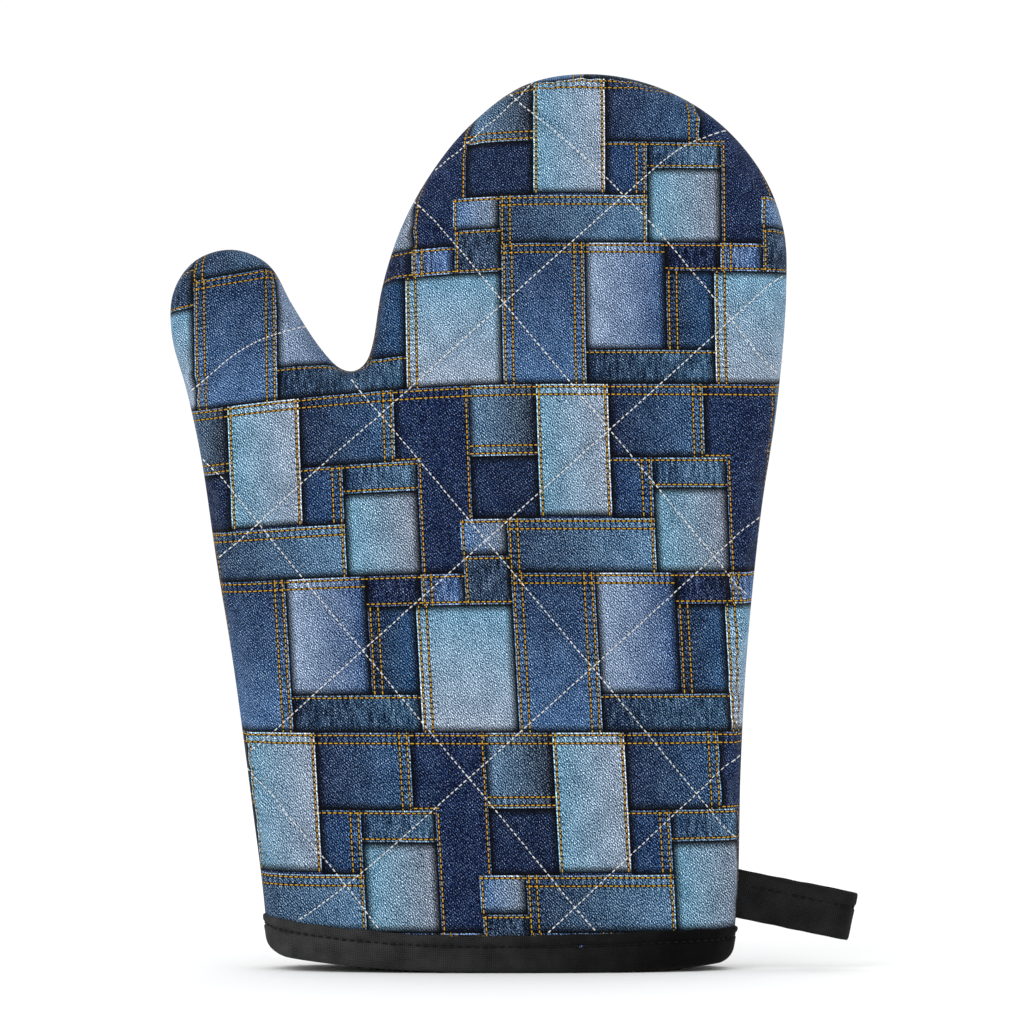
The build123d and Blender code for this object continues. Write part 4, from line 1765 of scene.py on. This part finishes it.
@dataclass
class SideSeam:
    """The line that joins the panels, and their trimmed edges wrapped in thread inside."""

    form: MittForm
    cuff: CuffLine
    foot: float = 14.5
    line_depth: float = 1.7
    strip_start: float = 3.3
    strip_end: float = 9.8
    strip_half: float = 0.85
    lean: tuple[float, float, int] = (0.5, 34, 31)  # the height, wavelength and seed of its waves
    pitch: float = 2.5
    line_foot: float = 2.0
    line_gap: float = 0.15
    thread: tuple[float, float] = (0.34, 0.34)
    wrap_pitch: float = 1.7
    wrap_margin: float = 1.6
    wrap_rise: float = 0.5
    wrap_lift: float = 0.12
    edge_lift: float = 0.25
    wrap_thread: tuple[float, float] = (0.36, 0.3)
    columns: int = 420
    rows: int = 8

    def _run(self, depth: float, foot: float, count: int) -> tuple[np.ndarray, np.ndarray]:
        """Evenly spaced places along the seam at one depth inside it, and the ways outward."""
        line = self.form.seam - self.form.outward * depth
        line[0, 1] = self.form.foot
        line[-1, 1] = self.form.foot
        above = np.nonzero(line[:, 1] > foot)[0]
        line = line[above[0] : above[-1] + 1]
        way = self.form.outward[above[0] : above[-1] + 1]
        run = run_along(line)
        at = np.linspace(0, run[-1], count)
        return values_at(at, run, line), unit(values_at(at, run, way))

    def _length(self) -> float:
        """The length of the seam."""
        return float(run_along(self.form.seam)[-1])

    def _lean(self, flat: np.ndarray) -> np.ndarray:
        """How far the free edge of the trimmed cloth leans to the back at these places."""
        height, pitch, seed = self.lean
        return height * waves(flat, pitch, seed)

    def build(self, finishes: dict[str, bpy.types.Material], stitch: Stitch) -> None:
        """Makes the seam's stitches and the wrapped edges."""
        count = round(self._length() / self.pitch)
        line, _ = self._run(self.line_depth, self.line_foot, count)
        line = self.cuff.settle(np.column_stack([line[:, 0], 0 * line[:, 0], line[:, 1]]))
        ups = np.tile((0.0, -1.0, 0.0), (count - 1, 1))
        gap = (line[1:] - line[:-1]) * self.line_gap
        piece = stitch.sew("side_seam_stitches", line[:-1] + gap, line[1:] - gap, ups, self.thread)
        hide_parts("side_seam_thread")
        dress(piece, finishes["white_thread"], "mitt")
        self._add_edges(finishes)
        self._wrap(finishes, stitch)

    def _add_edges(self, finishes: dict[str, bpy.types.Material]) -> None:
        """Makes the strip of trimmed edges that stands up inside the mitt."""
        strip, shares = lay_strip("trimmed_seam_edges", self.columns, self.rows)
        line, way = self._run(self.strip_start, self.foot, self.columns + 1)
        column = np.rint(shares[:, 0] * self.columns).astype(int)
        inwards = shares[:, 1] * (self.strip_end - self.strip_start)
        flat = line[column] - way[column] * inwards[:, None]
        lean = self._lean(flat) * shares[:, 1]
        places = np.column_stack([flat[:, 0], lean + self.strip_half, flat[:, 1]])
        move_to(strip, self.cuff.settle(places))
        set_map(strip, "cloth", flat)
        apply_modifier(
            strip, "thickness", "SOLIDIFY", thickness=2 * self.strip_half * MM, offset=0.0
        )
        moved = places_of(strip)
        moved[:, 1] -= self.strip_half
        move_to(strip, moved)
        make_active(strip)
        bpy.ops.object.mode_set(mode="EDIT")
        bpy.ops.mesh.select_all(action="SELECT")
        bpy.ops.mesh.normals_make_consistent(inside=False)
        bpy.ops.object.mode_set(mode="OBJECT")
        shade_smooth(strip)
        dress(strip, finishes["lining"], "mitt")

    def _wrap(self, finishes: dict[str, bpy.types.Material], stitch: Stitch) -> None:
        """Wraps the trimmed edges in thread: a zigzag on each face and a chain along the edge."""
        count = round(self._length() / self.wrap_pitch)
        start = self.strip_start + self.wrap_margin
        low, way = self._run(start, self.foot + self.wrap_rise, count)
        high = low - way * (self.strip_end - start)
        lean = self._lean(high)
        starts, ends, ups = [], [], []
        for sign in (-1, 1):
            aside = sign * (self.strip_half + self.wrap_lift)
            near = np.column_stack([low[:, 0], 0 * lean + aside, low[:, 1]])
            far = np.column_stack([high[:, 0], lean + aside, high[:, 1]])
            starts += [near[:-1], near[:-1]]
            ends += [far[:-1], near[1:]]
            ups += [np.tile((0.0, float(sign), 0.0), (count - 1, 1))] * 2
        edge = np.column_stack([high[:, 0], lean, high[:, 1]])
        inwards = np.column_stack([-way[:, 0], 0 * lean, -way[:, 1]])
        chain = edge + inwards * self.edge_lift
        starts.append(chain[:-1])
        ends.append(chain[1:])
        ups.append(inwards[:-1])
        starts, ends = (self.cuff.settle(np.vstack(part)) for part in (starts, ends))
        piece = stitch.sew("seam_edge_wraps", starts, ends, np.vstack(ups), self.wrap_thread)
        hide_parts("seam_overlock")
        dress(piece, finishes["white_thread"], "mitt")


@dataclass
class HangingLoop:
    """The folded tape that stands out of the side seam, to hang the mitt from a hook."""

    hinge: tuple[float, float] = (71.9, 23.1)
    droop: float = 11.5
    width: float = 15.0
    thickness: float = 1.1
    columns: int = 120
    rows: int = 22
    path_step: float = 0.25
    # The height, wavelength and seed of the sag, the folds, the stitches' ripples and the edges.
    sag: tuple[float, float, int] = (0.16, 13, 41)
    folds: tuple[float, float, int] = (0.12, 5, 42)
    ripple: tuple[float, float, int] = (0.13, 3.2, 44)
    wavy_edge: tuple[float, float, int] = (0.07, 11, 43)
    ripple_half: float = 1.6
    groove: float = 0.55
    groove_half: float = 0.5
    round_edge: float = 0.25
    round_half: float = 0.4
    stitch_ends: tuple[float, float] = (12.5, 13.0)
    stitch_depth: float = 0.3
    stitch_rise: float = 3.0
    stitch_pitch: float = 2.6
    stitch_length: float = 1.75
    thread: tuple[float, float] = (0.42, 0.32)
    # One ply seen from above, from the tail in the seam to the fold: outwards, and aside.
    ply: tuple[tuple[float, float], ...] = (
        (-11.0, 1.18),
        (0.0, 1.2),
        (7.0, 1.45),
        (15.0, 2.7),
        (24.0, 4.2),
        (30.0, 4.5),
        (33.8, 3.1),
        (35.3, 0.0),
    )

    def _path(self) -> tuple[np.ndarray, np.ndarray]:
        """The tape's outer face seen from above, from tail to tail, and its outward directions."""
        other = [(x, -y) for x, y in reversed(self.ply[:-1])]
        path = divide(smooth_curve([*self.ply, *other], self.path_step), self.columns + 1)
        along = unit(np.gradient(path, axis=0))
        return path, np.stack([-along[:, 1], along[:, 0]], axis=1)

    def _place(self, out: np.ndarray, aside: np.ndarray, rise: np.ndarray) -> np.ndarray:
        """Turns places on the level tape into places on the drooping loop."""
        turn = math.radians(self.droop)
        x = self.hinge[0] + out * math.cos(turn) + rise * math.sin(turn)
        z = self.hinge[1] - out * math.sin(turn) + rise * math.cos(turn)
        return np.column_stack([x, aside, z])

    def build(self, finishes: dict[str, bpy.types.Material], stitch: Stitch) -> None:
        """Makes the loop and its two lines of stitches."""
        strip, shares = lay_strip("hanging_loop_tape", self.columns, self.rows)
        path, way = self._path()
        column = np.rint(shares[:, 0] * self.columns).astype(int)
        rise = (shares[:, 1] - 0.5) * self.width
        at = path[column]
        soft = self._soften(at, rise) * smoothstep(-2, 3, at[:, 0])
        laid = at + way[column] * soft[:, None]
        height, pitch, seed = self.wavy_edge
        rise = rise + height * waves(at * (1, 0), pitch, seed)
        move_to(strip, self._place(laid[:, 0], laid[:, 1], rise))
        set_map(strip, "cloth", shares * (run_along(path)[-1], self.width))
        close_strip(strip, self.thickness)
        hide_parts("hanging_loop", "loop_tail")
        dress(strip, finishes["tape"])
        self._join(strip)
        self._sew(finishes, stitch)

    def _soften(self, at: np.ndarray, rise: np.ndarray) -> np.ndarray:
        """The tape's small folds, its rounded edges and the groove along its stitches.

        Args:
            at: Places on the tape seen from above.
            rise: Their heights from the tape's middle.

        Returns:
            How far the tape stands out at each place.
        """
        height, pitch, seed = self.sag
        soft = height * waves(np.column_stack([at * (1, 1.5), rise]), pitch, seed)
        height, pitch, seed = self.folds
        soft += height * waves(np.column_stack([at * (1, 1.5), rise * 0.3]), pitch, seed)
        edge = np.minimum(rise + self.width / 2, self.width / 2 - rise)
        soft -= self.round_edge * np.exp(-((edge / self.round_half) ** 2))
        by_stitch = rise - self.stitch_rise
        height, pitch, seed = self.ripple
        soft += height * waves(at, pitch, seed) * np.exp(-((by_stitch / self.ripple_half) ** 2))
        return soft - self.groove * np.exp(-((by_stitch / self.groove_half) ** 2))

    def _join(self, piece: bpy.types.Object) -> None:
        """Bakes the piece's place into its mesh."""
        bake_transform(piece)

    def _sew(self, finishes: dict[str, bpy.types.Material], stitch: Stitch) -> None:
        """Sews the line along the tape's folded edge, round both plies."""
        path, way = self._path()
        run = run_along(path)
        tail, far_tail = self.stitch_ends
        first = np.arange(tail, run[-1] - far_tail, self.stitch_pitch)
        sides = []
        for at in (first, first + self.stitch_length):
            flat = values_at(at, run, path - way * self.stitch_depth)
            sides.append(self._place(flat[:, 0], flat[:, 1], np.full(len(at), self.stitch_rise)))
        up = np.column_stack([values_at(first, run, way), np.zeros(len(first))])
        piece = stitch.sew("hanging_loop_stitches", sides[0], sides[1], up, self.thread)
        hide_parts("loop_topstitching")
        dress(piece, finishes["black_thread"])
        self._join(piece)


# ---- The studio ----


@dataclass
class Studio:
    """A pale floor, soft light and the camera in front of the mitt."""

    floor_size: float = 30.0
    floor_colour: str = "#fbfbfb"
    world_strength: float = 1.04
    lens: float = 269.5
    camera_place: tuple[float, float, float] = (-0.0003, -2.4, 0.1428)
    # Name, place, aimed at, size in metres and watts.
    lamps: tuple[tuple[str, tuple, tuple, float, float], ...] = (
        ("key_light", (-1.1, -1.5, 1.3), (0, 0, 0.13), 1.4, 9.0),
        ("fill_light", (1.3, -1.2, 0.7), (0, 0, 0.13), 1.4, 1.5),
        ("back_light", (0.2, 1.6, 1.5), (0, 0, 0.13), 1.6, 4.0),
    )

    def build(self) -> None:
        """Adds the floor, the lights and the camera."""
        scene = bpy.context.scene
        bpy.ops.object.select_all(action="DESELECT")
        bpy.ops.mesh.primitive_plane_add(size=self.floor_size)
        floor = bpy.context.active_object
        floor.name = "studio_floor"
        material, tree = start_material("matt white board")
        colour = linear(self.floor_colour)
        finish_material(tree, {"Base Color": colour, "Roughness": 0.9, "Specular IOR Level": 0.1})
        floor.data.materials.append(material)
        world = bpy.data.worlds.new("studio")
        world.use_nodes = True
        background = world.node_tree.nodes["Background"]
        background.inputs[0].default_value = (1, 1, 1, 1)
        background.inputs[1].default_value = self.world_strength
        scene.world = world
        for name, place, aim, size, power in self.lamps:
            lamp = bpy.data.lights.new(name, "AREA")
            lamp.shape = "DISK"
            lamp.size = size
            lamp.energy = power
            holder = bpy.data.objects.new(name, lamp)
            holder.location = place
            holder.rotation_euler = (Vector(aim) - Vector(place)).to_track_quat("-Z", "Y").to_euler()
            scene.collection.objects.link(holder)
        camera = bpy.data.cameras.new("camera")
        camera.lens = self.lens
        camera.sensor_width = 36.0
        holder = bpy.data.objects.new("camera", camera)
        holder.location = self.camera_place
        holder.rotation_euler = (math.pi / 2, 0, 0)
        scene.collection.objects.link(holder)
        scene.camera = holder
        scene.view_settings.view_transform = "Standard"


def make_finishes() -> dict[str, bpy.types.Material]:
    """Makes every material of the mitt."""
    return {
        "print": PrintedCotton().make(),
        # Painted light: the binding is lighter on the thumb side and near black on the loop side, standing
        # in for the key lamp that lights the thumb side more.
        "binding": WovenCloth(
            "black cotton tape with painted side light", "#464647", "#101011", yarn=0.6, relief=0.14, fading=(1.0, 0.05)
        ).make(),
        "tape": WovenCloth("black cotton tape", "#29292a", "#040405", yarn=0.6, relief=0.14).make(),
        "lining": WovenCloth("unbleached plain cotton", "#efeae0", "#c9c2b4", yarn=0.8).make(),
        "wadding": PolyesterWadding().make(),
        "white_thread": SewingThread("white spun polyester thread", "#f6f5f1", "#b9b9b8").make(),
        "black_thread": SewingThread("black spun polyester thread", "#101011", "#030303").make(),
    }


def main() -> None:
    """Builds the mitt, piece by piece."""
    logging.basicConfig(level=logging.INFO, format="%(name)s: %(message)s")
    finishes = make_finishes()
    stitch = Stitch()
    form = MittForm()
    quilting = Quilting()
    cuff = CuffLine()
    patchwork = Patchwork()
    flat, faces = form.mesh()
    for side in Side:
        panel = QuiltedPanel(side, form, quilting, cuff, patchwork)
        panel.make(flat, faces)
        panel.build(finishes, stitch)
    CuffBinding(form, cuff).build(finishes, stitch)
    SideSeam(form, cuff).build(finishes, stitch)
    HangingLoop().build(finishes, stitch)
    Studio().build()


if __name__ == "__main__":
    main()
